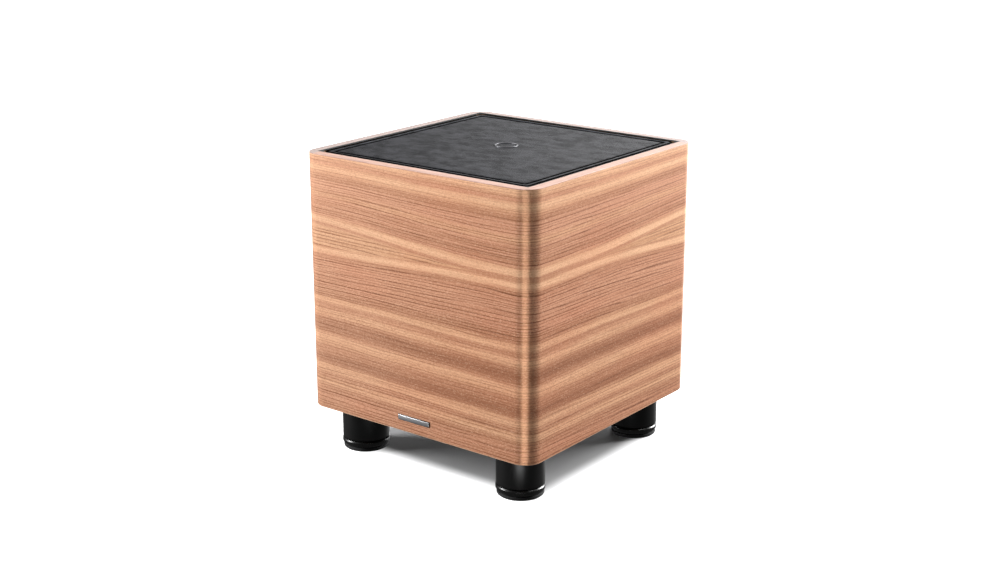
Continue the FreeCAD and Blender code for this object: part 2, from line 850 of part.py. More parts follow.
# control board: one circuit board that carries both potentiometers and the slide switch
pots = [box("control_pcb", -92, -22, 146.4, 148, 256, 328)]
pot_tools = []
for k, (xx, zz) in knob_xz.items():
    pots.append(cyl("pot_can_" + k, 8.5, pan_back - 147.5, xx, 147.5, zz, "y"))
    pots.append(cyl("pot_bush_" + k, 4.0, 6.0, xx, pan_back - 0.5, zz, "y"))
    pot_tools.append(cyl("pot_bore_" + k, shaft_bore, 17.0, xx, 150, zz, "y"))
pots.append(box("slide_case", slide_x - 7, slide_x + 7, 147.5, pan_back, slide_z - 4.5, slide_z + 4.5))
pot_tools.append(box("slide_well", slide_x - 4.4, slide_x + 4.4, 154.6, pan_back + 1, slide_z - 2.4, slide_z + 2.4))
node(cut("control_cut", fuse("control_blank", pots), pot_tools), "control_board")
for k, (xx, zz) in knob_xz.items():
    face = knob_tip - (pan_y + 4.0)
    node(
        turned(
            k + "_turned",
            [
                (0, -15.0),
                (shaft_r - 0.4, -15.0),
                (shaft_r, -14.6),
                (shaft_r, 0),
                (knob_r, 0),
                (knob_r, 0.8),
                (knob_r - 0.7, face - 1.0),
                (knob_r - 1.7, face),
                (0, face),
            ],
            xx, pan_y + 4.0, zz, FACE_REAR,
        ),
        k + "_knob",
    )
node(box("slider_nub", slide_x - 4.2, slide_x - 0.2, 155, pan_y + 3.2, slide_z - 2.1, slide_z + 2.1), "phase_slider")
node(
    turned(
        "led_turned",
        [(0, 0), (2.2, 0), (2.2, 1.2), (1.5, 1.2), (1.5, 5.2), (1.0, 5.9), (0, 6.2)],
        led_x, pan_back - 1.2, led_z, FACE_REAR,
    ),
    "status_led",
)

# ---------------------------------------------------------------- leads from the amplifier to the driver


def rounded_path(pts):
    """Straight runs joined by tangent arcs; each arc is as large as its two runs allow."""
    pts = [V(*p) for p in pts]
    edges, start, radii = [], pts[0], []
    for i in range(1, len(pts) - 1):
        a, p, b = pts[i - 1], pts[i], pts[i + 1]
        u, w = (a - p), (b - p)
        la, lb = u.Length, w.Length
        u.normalize()
        w.normalize()
        turn = math.pi - u.getAngle(w)
        t = 0.45 * min(la, lb)
        r = t / math.tan(turn / 2)
        radii.append(r)
        p0, p1 = p + u * t, p + w * t
        bis = u + w
        bis.normalize()
        centre = p + bis * (r / math.cos(turn / 2))
        to_mid = p - centre
        to_mid.normalize()
        edges.append(Part.LineSegment(start, p0).toShape())
        edges.append(Part.Arc(p0, centre + to_mid * r, p1).toShape())
        start = p1
    edges.append(Part.LineSegment(start, pts[-1]).toShape())
    return Part.Wire(edges), radii


lead_routes = [
    [(86, 100, 178), (86, 76, 178), (87, 52, 168), (88, 28, 150), (89, 5, 132), (89, 5, 108)],
    [(93, 100, 178), (93, 78, 178), (94, 52, 166), (95, 24, 148), (91, -5, 130), (91, -5, 108)],
]
lead_shapes = []
for pts in lead_routes:
    wire, radii = rounded_path(pts)
    first = V(*pts[1]) - V(*pts[0])
    profile = Part.Wire([Part.makeCircle(lead_r.v, V(*pts[0]), first)])
    solid = wire.makePipeShell([profile], True, False, 2)
    if not isinstance(solid, Part.Solid):
        solid = Part.Solid(solid) if solid.ShapeType == "Shell" else solid
    ratio = solid.Volume / (math.pi * lead_r.v ** 2 * wire.Length)
    print("lead radii", [round(r, 1) for r in radii], "length %.1f" % wire.Length, "volume ratio %.4f" % ratio)
    if not 0.99 < ratio < 1.01:
        raise RuntimeError("lead volume is wrong")
    lead_shapes.append(solid)
leads = doc.addObject("Part::Feature", "lead_pair")
leads.Shape = Part.Compound(lead_shapes)
leads.Placement = FreeCAD.Placement()
node(leads, "speaker_leads")

# ---------------------------------------------------------------- checks and files
doc.recompute()
bad = []
for o in doc.Objects:
    if "Invalid" in o.State or "Error" in o.State:
        bad.append("%s (%s): %s" % (o.Name, o.Label, o.State))
names = [n for n, _ in exported]
if len(set(names)) != len(names) or len(names) > 60:
    bad.append("%d nodes, %d names" % (len(names), len(set(names))))
for n, o in exported:
    s = o.Shape
    if s.isNull() or not s.isValid() or not s.Solids:
        bad.append(n + ": no valid solid")
if bad:
    raise RuntimeError("; ".join(bad))
os.makedirs("parts", exist_ok=True)
for n, o in exported:
    o.Shape.exportStep("parts/%s.step" % n)
    bb = o.Shape.BoundBox
    print(
        "%-24s solids %d  vol %10.1f  x %.2f..%.2f y %.2f..%.2f z %.2f..%.2f"
        % (n, len(o.Shape.Solids), o.Shape.Volume, bb.XMin, bb.XMax, bb.YMin, bb.YMax, bb.ZMin, bb.ZMax)
    )
print(len(exported), "nodes")
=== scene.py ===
import math

import bmesh
import bpy
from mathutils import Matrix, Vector

import json
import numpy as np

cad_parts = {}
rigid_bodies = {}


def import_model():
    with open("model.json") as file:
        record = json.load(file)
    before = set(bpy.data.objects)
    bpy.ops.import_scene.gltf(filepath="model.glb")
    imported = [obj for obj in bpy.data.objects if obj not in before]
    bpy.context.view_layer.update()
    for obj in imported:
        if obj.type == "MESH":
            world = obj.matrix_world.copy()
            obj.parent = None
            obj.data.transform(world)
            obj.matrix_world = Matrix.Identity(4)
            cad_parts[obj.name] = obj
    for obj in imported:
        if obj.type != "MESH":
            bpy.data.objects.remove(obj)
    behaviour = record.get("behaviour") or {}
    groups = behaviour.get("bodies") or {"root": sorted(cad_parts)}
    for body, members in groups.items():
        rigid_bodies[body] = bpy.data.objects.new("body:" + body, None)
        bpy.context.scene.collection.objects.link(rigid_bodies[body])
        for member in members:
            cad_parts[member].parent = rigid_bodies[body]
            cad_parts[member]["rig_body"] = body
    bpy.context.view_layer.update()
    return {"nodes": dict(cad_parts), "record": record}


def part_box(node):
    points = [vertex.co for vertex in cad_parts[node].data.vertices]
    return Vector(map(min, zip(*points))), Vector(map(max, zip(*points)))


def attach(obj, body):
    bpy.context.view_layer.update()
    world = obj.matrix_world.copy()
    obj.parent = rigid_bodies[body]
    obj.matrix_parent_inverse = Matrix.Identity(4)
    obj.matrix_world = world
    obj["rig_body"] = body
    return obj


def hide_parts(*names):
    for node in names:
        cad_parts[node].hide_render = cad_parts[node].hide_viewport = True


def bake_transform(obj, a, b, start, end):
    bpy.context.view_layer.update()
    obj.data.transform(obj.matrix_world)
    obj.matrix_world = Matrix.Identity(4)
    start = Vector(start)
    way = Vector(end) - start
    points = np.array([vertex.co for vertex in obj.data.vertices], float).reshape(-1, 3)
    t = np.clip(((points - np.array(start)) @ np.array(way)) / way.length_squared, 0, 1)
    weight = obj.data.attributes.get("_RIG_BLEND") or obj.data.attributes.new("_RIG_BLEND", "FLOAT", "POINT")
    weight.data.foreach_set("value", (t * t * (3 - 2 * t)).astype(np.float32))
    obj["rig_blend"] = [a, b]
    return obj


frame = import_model()
scene = bpy.context.scene

MM = 0.001
HALF, TOP, LOW = 0.175, 0.390, 0.060
CORNER = 0.022


# ------------------------------------------------------------------ camera
cam_data = bpy.data.cameras.new("camera")
cam_data.lens, cam_data.sensor_width = 57.67, 36.0
cam = bpy.data.objects.new("camera", cam_data)
cam.location = (1.1949, -1.5568, 0.7979)
cam.rotation_euler = (math.radians(90 - 16.58), 0, math.radians(37.56))
scene.collection.objects.link(cam)
scene.camera = cam


# ------------------------------------------------------------------ node helpers
def lin(c):
    """A colour given as 0 to 255 display values, made linear."""
    out = []
    for v in c[:3]:
        v = v / 255.0
        out.append(v / 12.92 if v <= 0.04045 else ((v + 0.055) / 1.055) ** 2.4)
    return (*out, 1.0)


class Mat:
    """A node material, built by short calls. A value is a number, a colour or a socket."""

    def __init__(self, name):
        self.m = bpy.data.materials.new(name)
        self.m.use_nodes = True
        self.t = self.m.node_tree
        self.t.nodes.clear()
        self.out = self.node("ShaderNodeOutputMaterial")
        self.b = self.node("ShaderNodeBsdfPrincipled")
        self.t.links.new(self.b.outputs[0], self.out.inputs[0])
        self._co = None

    def node(self, kind, **kw):
        n = self.t.nodes.new(kind)
        for k, v in kw.items():
            setattr(n, k, v)
        return n

    def put(self, socket, v):
        if isinstance(v, bpy.types.NodeSocket):
            self.t.links.new(v, socket)
        elif v is not None:
            if hasattr(socket.default_value, "__len__") and not hasattr(v, "__len__"):
                v = [v] * len(socket.default_value)
            if hasattr(socket.default_value, "__len__"):
                v = list(v)[: len(socket.default_value)]
            socket.default_value = v

    def set(self, **kw):
        for k, v in kw.items():
            self.put(self.b.inputs[k.replace("_", " ")], v)
        return self

    def co(self):
        if self._co is None:
            self._co = self.node("ShaderNodeTexCoord").outputs["Object"]
        return self._co

    def math(self, op, a, b=None, c=None, clamp=False):
        n = self.node("ShaderNodeMath", operation=op, use_clamp=clamp)
        self.put(n.inputs[0], a)
        if b is not None:
            self.put(n.inputs[1], b)
        if c is not None:
            self.put(n.inputs[2], c)
        return n.outputs[0]

    def add(self, a, b):
        return self.math("ADD", a, b)

    def sub(self, a, b):
        return self.math("SUBTRACT", a, b)

    def mul(self, a, b):
        return self.math("MULTIPLY", a, b)

    def step(self, v, lo, hi, a=0.0, b=1.0):
        n = self.node("ShaderNodeMapRange", interpolation_type="SMOOTHSTEP")
        self.put(n.inputs[0], v)
        for i, x in enumerate((lo, hi, a, b)):
            n.inputs[i + 1].default_value = x
        return n.outputs[0]

    def line(self, v, lo, hi, a=0.0, b=1.0):
        n = self.node("ShaderNodeMapRange")
        self.put(n.inputs[0], v)
        for i, x in enumerate((lo, hi, a, b)):
            n.inputs[i + 1].default_value = x
        return n.outputs[0]

    def split(self, v):
        n = self.node("ShaderNodeSeparateXYZ")
        self.put(n.inputs[0], v)
        return n.outputs

    def join(self, x, y, z=0.0):
        n = self.node("ShaderNodeCombineXYZ")
        for s, v in zip(n.inputs, (x, y, z)):
            self.put(s, v)
        return n.outputs[0]

    def scale(self, v, sx, sy, sz):
        n = self.node("ShaderNodeVectorMath", operation="MULTIPLY")
        self.put(n.inputs[0], v)
        n.inputs[1].default_value = (sx, sy, sz)
        return n.outputs[0]

    def noise(self, v, scale=1.0, detail=3.0, rough=0.5, distort=0.0):
        n = self.node("ShaderNodeTexNoise")
        self.put(n.inputs["Vector"], v)
        n.inputs["Scale"].default_value = scale
        n.inputs["Detail"].default_value = detail
        n.inputs["Roughness"].default_value = rough
        n.inputs["Distortion"].default_value = distort
        return n.outputs["Fac"]

    def cells(self, v, scale=1.0, feature="F1", metric="EUCLIDEAN", random=1.0):
        n = self.node("ShaderNodeTexVoronoi", feature=feature, distance=metric)
        self.put(n.inputs["Vector"], v)
        n.inputs["Scale"].default_value = scale
        n.inputs["Randomness"].default_value = random
        return n.outputs

    def ramp(self, fac, stops, interp="LINEAR"):
        n = self.node("ShaderNodeValToRGB")
        r = n.color_ramp
        r.interpolation = interp
        while len(r.elements) < len(stops):
            r.elements.new(0.5)
        for e, (pos, col) in zip(r.elements, stops):
            e.position = pos
        for e, (pos, col) in zip(r.elements, stops):
            e.color = col if len(col) == 4 else (*col, 1.0)
        self.put(n.inputs[0], fac)
        return n.outputs[0]

    def grey(self, fac, stops):
        return self.ramp(fac, [(p, (v, v, v, 1)) for p, v in stops])

    def mix(self, fac, a, b, blend="MIX"):
        n = self.node("ShaderNodeMix", data_type="RGBA", blend_type=blend)
        self.put(n.inputs[0], fac)
        self.put(n.inputs[6], a)
        self.put(n.inputs[7], b)
        return n.outputs[2]

    def bump(self, height, strength=0.3, distance=0.001, normal=None):
        n = self.node("ShaderNodeBump")
        n.inputs["Strength"].default_value = strength
        n.inputs["Distance"].default_value = distance
        self.put(n.inputs["Height"], height)
        if normal is not None:
            self.put(n.inputs["Normal"], normal)
        return n.outputs[0]


# ------------------------------------------------------------------ veneer
def veneer_material():
    k = Mat("walnut_veneer")
    uv = k.node("ShaderNodeUVMap", uv_map="grain").outputs[0]
    x, y, _ = k.split(uv)
    run = k.math("MULTIPLY_ADD", x, 1000.0, -700.0)          # mm round the cabinet from the front right corner
    drop = k.math("MULTIPLY_ADD", y, -1000.0, 390.0)         # mm below the top
    # slow drift of the figure
    wander = k.noise(k.join(k.mul(run, 0.0045), k.mul(drop, 0.011), 3.1), 1.0, 2.0, 0.45)
    drift = k.math("MULTIPLY_ADD", wander, 3.6, -1.8)
    wob = k.noise(k.join(k.mul(run, 0.018), k.mul(drop, 0.05), 9.7), 1.0, 2.0, 0.5)
    drift = k.add(drift, k.math("MULTIPLY_ADD", wob, 1.8, -0.9))
    right_drop = k.mul(k.step(run, 20.0, 380.0, 0.0, -6.5), k.step(drop, 120.0, 185.0))
    left_turn = k.mul(k.step(run, -380.0, -30.0, 1.0, 0.0), k.step(drop, 20.0, 60.0, 0.0, 2.0))
    # lens shaped parting of the figure
    size = k.math("ABSOLUTE", run)
    close = k.step(size, 430.0, 660.0, 1.0, 0.0)
    open_left = k.step(run, -360.0, -50.0, 13.8, 0.0)
    open_right = k.step(run, 120.0, 400.0, 0.0, 13.5)
    half = k.math("MULTIPLY_ADD", k.add(open_left, open_right), close, 0.9)
    centre = k.step(run, -350.0, -70.0, 103.2, 106.0)
    d = k.sub(drop, centre)
    side = k.math("SIGN", d)
    ad = k.math("ABSOLUTE", d)
    length = k.math("MULTIPLY_ADD", side, -8.0, 98.0)
    share = k.math("DIVIDE", k.sub(length, ad), k.sub(length, half), clamp=True)
    m = k.sub(ad, k.mul(half, share))
    inside = k.step(m, -1.4, -0.2, 1.0, 0.0)
    p = k.math("MULTIPLY_ADD", side, m, 106.0)
    edge = k.step(ad, 4.0, 22.0)                              # the drift fades out beside the lens
    p = k.add(p, k.mul(drift, edge))
    p = k.add(p, k.add(right_drop, left_turn))

    L1, L2, L3 = (235, 186, 148), (225, 174, 137), (215, 163, 127)
    M, P, Q = (204, 150, 117), (207, 151, 121), (200, 143, 113)
    D1, D2, D3 = (184, 131, 101), (168, 116, 88), (152, 101, 75)
    upper = [
        (0, L1), (6.5, L2), (10, M), (14, Q), (17.5, L2), (22, L1), (26, L3), (30, M), (32, D1), (36.5, D1),
        (41, P), (52, P), (61, L3), (68, P), (74, D1), (77, P), (84, D1), (90, Q), (93.5, L3), (96, L1),
        (101, L1), (103.6, M), (105.4, D1), (107.4, L3), (109.5, L1), (114, L1), (117.5, M), (120, D1),
        (126, Q), (142, P), (160, Q),
    ]
    lower = [
        (160, Q), (166, P), (172, D1), (179, D1), (182.5, L3), (186, L2), (189, L2), (192.5, D1), (198, M),
        (203, L2), (208, L3), (211, D1), (216, D2), (221, D3), (227, D2), (232, M), (236, L2), (244, L3),
        (250, D1), (257, D1), (262, D3), (270, D2), (274.5, L3), (281, L2), (285, M), (289, D1), (294, L3),
        (298, L2), (304, D1), (316, Q), (330, D1),
    ]
    streak = k.noise(k.join(k.mul(run, 0.010), k.mul(p, 0.62), 7.7), 1.0, 4.0, 0.62)
    pj = k.add(p, k.math("MULTIPLY_ADD", streak, 9.0, -4.5))
    ra = k.ramp(k.line(pj, 0, 160), [(a / 160.0, lin(c)) for a, c in upper])
    rb = k.ramp(k.line(pj, 160, 330), [((a - 160) / 170.0, lin(c)) for a, c in lower])
    base = k.mix(k.line(pj, 159.5, 160.5), ra, rb)
    tan = k.ramp(
        k.noise(k.join(k.mul(run, 0.002), k.mul(d, 0.22), 5.0), 1.0, 3.0, 0.6),
        [(0.3, lin((196, 143, 107))), (0.5, lin((214, 164, 126))), (0.7, lin((230, 180, 141)))],
    )
    base = k.mix(inside, base, tan)
    base = k.mix(k.step(run, -330.0, -60.0, 0.30, 0.0), base, lin((228, 180, 150)))
    # broad pinkish and golden patches
    tint = k.noise(k.join(k.mul(run, 0.006), k.mul(drop, 0.013), 1.7), 1.0, 2.0, 0.5)
    base = k.mix(k.step(tint, 0.42, 0.66, 0.0, 0.30), base, k.mix(1.0, base, lin((252, 226, 222)), "MULTIPLY"))
    # growth rings: each darkens slowly, then ends at a crisp edge
    zone_a = k.grey(k.line(p, 0, 330), [
        (0.0, 0.25), (0.03, 0.5), (0.055, 0.2), (0.09, 0.55), (0.12, 0.85), (0.27, 1.0), (0.285, 0.12), (0.312, 0.12),
        (0.318, 0.7), (0.325, 0.12), (0.352, 0.12), (0.365, 1.0), (0.545, 1.0), (0.56, 0.25), (0.58, 0.3), (0.6, 0.5),
        (0.62, 0.35), (0.65, 0.75), (0.70, 0.6), (0.72, 0.35), (0.76, 0.7), (0.82, 0.7), (0.85, 0.45), (0.875, 0.9),
        (0.9, 0.6), (0.93, 1.0), (1.0, 1.0),
    ])
    zone = k.mix(inside, zone_a, (0.75, 0.75, 0.75, 1))
    across = k.mix(inside, k.join(p, p, p), k.join(d, d, d))
    q = k.split(across)[0]
    sway = k.noise(k.join(k.mul(run, 0.0035), k.mul(q, 0.10), 6.4), 1.0, 2.0, 0.5)
    ring = k.math("FRACT", k.add(k.mul(q, 1 / 3.9), k.mul(sway, 2.4)))
    late = k.math("POWER", ring, 2.2)                         # slow darkening towards the ring's end
    crisp = k.mul(k.step(ring, 0.66, 0.80), k.step(ring, 0.95, 1.0, 1.0, 0.0))
    fade = k.noise(k.join(k.mul(run, 0.014), k.mul(q, 0.30), 2.2), 1.0, 3.0, 0.55)
    strong = k.step(fade, 0.30, 0.62, 0.25, 1.0)
    base = k.mix(k.mul(k.mul(late, zone), 0.20), base, lin((170, 116, 88)))
    base = k.mix(k.mul(k.mul(k.mul(crisp, zone), strong), 0.92), base, lin((110, 66, 46)))
    ring2 = k.math("FRACT", k.add(k.mul(q, 1 / 2.3), k.mul(sway, -1.9)))
    crisp2 = k.mul(k.step(ring2, 0.66, 0.88), k.step(ring2, 0.95, 1.0, 1.0, 0.0))
    fade2 = k.noise(k.join(k.mul(run, 0.009), k.mul(q, 0.24), 8.8), 1.0, 3.0, 0.55)
    base = k.mix(k.mul(k.mul(crisp2, k.step(fade2, 0.44, 0.66)), k.math("MULTIPLY_ADD", zone, 0.46, 0.14)), base, lin((138, 88, 63)))
    # hairlines and flecks
    hair = k.noise(k.join(k.mul(run, 0.010), k.mul(q, 1.1), 0.4), 1.0, 3.0, 0.65)
    base = k.mix(k.mul(k.step(hair, 0.46, 0.72, 0.0, 0.42), 1.0), base, lin((158, 108, 80)))
    base = k.mix(k.step(hair, 0.40, 0.22, 0.0, 0.30), base, lin((244, 198, 162)))
    pore = k.noise(k.join(k.mul(run, 0.16), k.mul(q, 3.4), 0.0), 1.0, 2.0, 0.7)
    pores = k.step(pore, 0.60, 0.72)
    base = k.mix(k.mul(pores, 0.34), base, lin((128, 80, 56)))
    speck = k.noise(k.join(k.mul(run, 0.55), k.mul(q, 1.3), 4.0), 1.0, 2.0, 0.6)
    base = k.mix(0.26, base, k.grey(speck, [(0.3, 0.36), (0.7, 0.66)]), "OVERLAY")
    fleck = k.noise(k.join(k.mul(run, 0.36), k.mul(q, 0.92), 11.3), 1.0, 2.0, 0.75)
    dim = k.mix(k.line(p, 160.0, 166.0), (0.75, 0.75, 0.75, 1), (1, 1, 1, 1))
    base = k.mix(k.mul(k.step(fleck, 0.50, 0.66, 0.0, 0.44), dim), base, lin((128, 84, 62)))
    base = k.mix(k.step(fleck, 0.46, 0.32, 0.0, 0.30), base, lin((250, 208, 176)))
    base = k.mix(1.0, base, (0.80, 0.80, 0.80, 1), "MULTIPLY")
    # painted highlight: the lower edge's roundover is painted paler, as if catching the light
    base = k.mix(k.step(drop, 328.6, 329.6, 0.0, 0.6), base, lin((236, 200, 170)))
    rough = k.math("MULTIPLY_ADD", pores, 0.16, 0.26)
    rough = k.math("MULTIPLY_ADD", hair, 0.08, rough)
    height = k.add(k.mul(pores, -0.7), k.mul(hair, 0.35))
    k.set(Base_Color=base, Roughness=rough, Coat_Weight=0.06, Coat_Roughness=0.22, Coat_IOR=1.45,
          Specular_IOR_Level=0.8, Specular_Tint=(1.0, 0.52, 0.28, 1), Normal=k.bump(height, 0.16, 0.0002))
    return k.m


def rim_material():
    k = Mat("rim_wood")
    co = k.co()
    x, y, z = k.split(co)
    # four mitred strips: the grain runs along each side
    side = k.math("GREATER_THAN", k.math("ABSOLUTE", x), k.math("ABSOLUTE", y))
    along = k.mix(side, k.join(x, x, x), k.join(y, y, y))
    cross = k.mix(side, k.join(y, y, y), k.join(x, x, x))
    a, c = k.split(along)[0], k.split(cross)[0]
    v = k.join(k.mul(a, 16.0), k.mul(c, 460.0), k.mul(side, 7.0))
    grain = k.noise(v, 1.0, 4.0, 0.6)
    col = k.ramp(grain, [(0.25, lin((140, 110, 98))), (0.5, lin((172, 140, 127))), (0.75, lin((190, 160, 147)))])
    broad = k.noise(k.join(k.mul(a, 9.0), k.mul(c, 60.0), 2.0), 1.0, 2.0, 0.5)
    col = k.mix(k.step(broad, 0.4, 0.7, 0.0, 0.4), col, lin((188, 150, 132)))
    # painted shade: the rear and left strips of the rim are painted duller and greyer than the front and right ones
    rear = k.math("MAXIMUM", k.step(y, 0.155, 0.158), k.step(x, -0.155, -0.158))
    col = k.mix(k.mul(rear, 0.75), col, lin((150, 141, 138)))
    edge = k.math("MAXIMUM", k.math("ABSOLUTE", x), k.math("ABSOLUTE", y))
    # painted shade: below the rim's top face the colour is painted dark brown, a shaded line along the outer roundover
    col = k.mix(k.step(z, 0.38975, 0.3893, 0.0, 0.92), col, lin((122, 80, 58)))
    # painted shade: the rim's inner chamfer and rebate wall are painted near black, as the shaded gap round the leather
    col = k.mix(k.step(edge, 0.1612, 0.1617, 1.0, 0.0), col, lin((14, 12, 12)))
    k.set(Base_Color=col, Roughness=k.math("MULTIPLY_ADD", grain, 0.15, 0.42), Specular_IOR_Level=0.3,
          Normal=k.bump(grain, 0.10, 0.0002))
    return k.m


def leather_material(name="grey_leather", lo=(27, 27, 29), mid=(36, 36, 39), hi=(47, 47, 51), paint_border_shade=True):
    k = Mat(name)
    co = k.co()
    warp = k.noise(k.scale(co, 60, 60, 60), 1.0, 2.0, 0.5)
    vec = k.node("ShaderNodeVectorMath", operation="MULTIPLY_ADD")
    k.put(vec.inputs[0], k.join(warp, warp, warp))
    vec.inputs[1].default_value = (0.004, 0.004, 0.004)
    k.put(vec.inputs[2], co)
    cell = k.cells(vec.outputs[0], 620.0, "DISTANCE_TO_EDGE")["Distance"]
    pebble = k.step(cell, 0.0, 0.22)
    fine = k.cells(co, 1500.0, "F1")["Distance"]
    mottle = k.noise(k.scale(co, 48, 76, 48), 1.0, 5.0, 0.62)
    streak = k.noise(k.scale(co, 5, 60, 30), 1.0, 3.0, 0.6)
    col = k.ramp(mottle, [(0.34, lin(lo)), (0.5, lin(mid)), (0.66, lin(hi))])
    col = k.mix(k.step(streak, 0.45, 0.75, 0.0, 0.18), col, lin(hi))
    # painted shade: the creases between the pebbles are painted darker
    col = k.mix(k.step(cell, 0.10, 0.0, 0.0, 0.35), col, lin((30, 30, 31)))
    shine = k.step(mottle, 0.34, 0.66, 0.014, 0.046)
    if paint_border_shade:
        x, y, z = k.split(co)
        edge = k.math("MAXIMUM", k.math("ABSOLUTE", x), k.math("ABSOLUTE", y))
        # painted shade: the groove and the outer edge of the leather are painted near black, as the shade in them
        groove_shade_mask = k.mul(k.step(edge, 0.1434, 0.1446), k.step(edge, 0.1490, 0.1478))
        rim = k.step(edge, 0.1522, 0.1530)
        painted_shade_lines = k.math("MAXIMUM", groove_shade_mask, rim)
        col = k.mix(k.mul(painted_shade_lines, 0.97), col, lin((3, 3, 3)))
        shine = k.mul(shine, k.math("MULTIPLY_ADD", painted_shade_lines, -0.95, 1.0))
    rough = k.math("MULTIPLY_ADD", pebble, -0.06, 0.35)
    rough = k.math("MULTIPLY_ADD", mottle, 0.12, rough)
    h = k.add(k.mul(pebble, 0.8), k.mul(fine, 0.3))
    n1 = k.bump(h, 0.38, 0.0004)
    n2 = k.bump(mottle, 0.10, 0.002, n1)
    k.set(Base_Color=col, Roughness=rough, Specular_IOR_Level=shine, Normal=n2)
    return k.m


def painted(name, col, rough=0.35, coat=0.0, grain=700.0, bump=0.04, spec=0.5, metal=0.0, vary=0.15):
    k = Mat(name)
    co = k.co()
    n = k.noise(k.scale(co, grain, grain, grain), 1.0, 3.0, 0.6)
    big = k.noise(k.scale(co, 30, 30, 30), 1.0, 3.0, 0.5)
    base = lin(col)
    dark = tuple(c * (1 - vary) for c in base[:3]) + (1.0,)
    light = tuple(min(1.0, c * (1 + vary) + 0.0015) for c in base[:3]) + (1.0,)
    col2 = k.ramp(big, [(0.3, dark), (0.7, light)])
    k.set(Base_Color=col2, Roughness=k.math("MULTIPLY_ADD", n, 0.10, rough - 0.05), Coat_Weight=coat, Coat_Roughness=0.08,
          Metallic=metal, Specular_IOR_Level=spec, Normal=k.bump(n, bump, 0.0003))
    return k.m


def brushed(name, col, rough=0.28, axis=(8, 900, 900), metal=1.0, bump=0.05):
    k = Mat(name)
    co = k.co()
    n = k.noise(k.scale(co, *axis), 1.0, 3.0, 0.6)
    smudge = k.noise(k.scale(co, 40, 40, 40), 1.0, 3.0, 0.5)
    base = lin(col)
    dark = tuple(c * 0.86 for c in base[:3]) + (1.0,)
    k.set(Base_Color=k.mix(k.step(n, 0.35, 0.65), base, dark), Metallic=metal,
          Roughness=k.add(k.math("MULTIPLY_ADD", n, 0.12, rough - 0.06), k.mul(smudge, 0.06)),
          Normal=k.bump(n, bump, 0.0002))
    return k.m


def rubber(name, col=(19, 19, 20), rough=0.72):
    k = Mat(name)
    co = k.co()
    n = k.noise(k.scale(co, 520, 520, 520), 1.0, 4.0, 0.7)
    big = k.noise(k.scale(co, 45, 45, 45), 1.0, 3.0, 0.6)
    base = lin(col)
    c = k.ramp(big, [(0.3, tuple(x * 0.75 for x in base[:3]) + (1,)), (0.7, tuple(x * 1.35 for x in base[:3]) + (1,))])
    k.set(Base_Color=c, Roughness=k.math("MULTIPLY_ADD", n, 0.2, rough - 0.1), Specular_IOR_Level=0.35, Normal=k.bump(n, 0.35, 0.0004))
    return k.m


# ------------------------------------------------------------------ mesh helpers
def new_object(name, bm, mat, body="cabinet", smooth=35.0, replaces=(), slot=None):
    bmesh.ops.recalc_face_normals(bm, faces=bm.faces)
    me = bpy.data.meshes.new(name)
    bm.to_mesh(me)
    bm.free()
    return wrap(name, me, mat, body, smooth, replaces)


def wrap(name, me, mat, body="cabinet", smooth=35.0, replaces=()):
    o = bpy.data.objects.new(name, me)
    scene.collection.objects.link(o)
    for m in mat if isinstance(mat, (list, tuple)) else [mat]:
        me.materials.append(m)
    if smooth:
        for p in me.polygons:
            p.use_smooth = True
        me.set_sharp_from_angle(angle=math.radians(smooth))
    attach(o, body)
    if replaces:
        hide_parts(*replaces)
    return o


def rounded_points(pts, seg=5):
    """An outline of (a, b, radius) with each corner replaced by an arc."""
    out = []
    n = len(pts)
    for i, (a, b, r) in enumerate(pts):
        p = Vector((a, b))
        if r <= 0:
            out.append(p)
            continue
        q0, q1 = Vector(pts[i - 1][:2]), Vector(pts[(i + 1) % n][:2])
        u, v = (q0 - p), (q1 - p)
        ang = u.angle(v)
        t = min(r / math.tan(ang / 2), 0.49 * min(u.length, v.length))
        r2 = t * math.tan(ang / 2)
        u.normalize()
        v.normalize()
        c = p + (u + v).normalized() * (r2 / math.sin(ang / 2))
        s0, s1 = p + u * t, p + v * t
        a0 = math.atan2(s0.y - c.y, s0.x - c.x)
        a1 = math.atan2(s1.y - c.y, s1.x - c.x)
        da = (a1 - a0 + math.pi) % (2 * math.pi) - math.pi
        for j in range(seg + 1):
            t2 = a0 + da * j / seg
            out.append(Vector((c.x + r2 * math.cos(t2), c.y + r2 * math.sin(t2))))
    return out


def lathe(name, pts, mat, centre=(0, 0, 0), seg=96, closed=True, body="cabinet", replaces=(), slot=None, axis="z", smooth=35.0, arc=5):
    """A turned piece from an outline of (radius, height, corner radius) in mm."""
    prof = rounded_points(pts, arc)
    bm = bmesh.new()
    rings = []
    for p in prof:
        r, h = max(p.x, 0.0) * MM, p.y * MM
        if r < 1e-7:
            rings.append([bm.verts.new((0, 0, h))])
        else:
            rings.append([bm.verts.new((r * math.cos(2 * math.pi * i / seg), r * math.sin(2 * math.pi * i / seg), h)) for i in range(seg)])
    count = len(rings) if closed else len(rings) - 1
    for i in range(count):
        a, b = rings[i], rings[(i + 1) % len(rings)]
        for j in range(seg):
            j2 = (j + 1) % seg
            if len(a) == 1 and len(b) == 1:
                continue
            if len(a) == 1:
                bm.faces.new((a[0], b[j], b[j2]))
            elif len(b) == 1:
                bm.faces.new((a[j], a[j2], b[0]))
            else:
                bm.faces.new((a[j], a[j2], b[j2], b[j]))
    if axis == "y":   # the piece's own height runs to the rear
        for v in bm.verts:
            v.co = Vector((v.co.x, v.co.z, -v.co.y))
    bmesh.ops.translate(bm, verts=bm.verts, vec=Vector(centre))
    return new_object(name, bm, mat, body, smooth, replaces, slot)


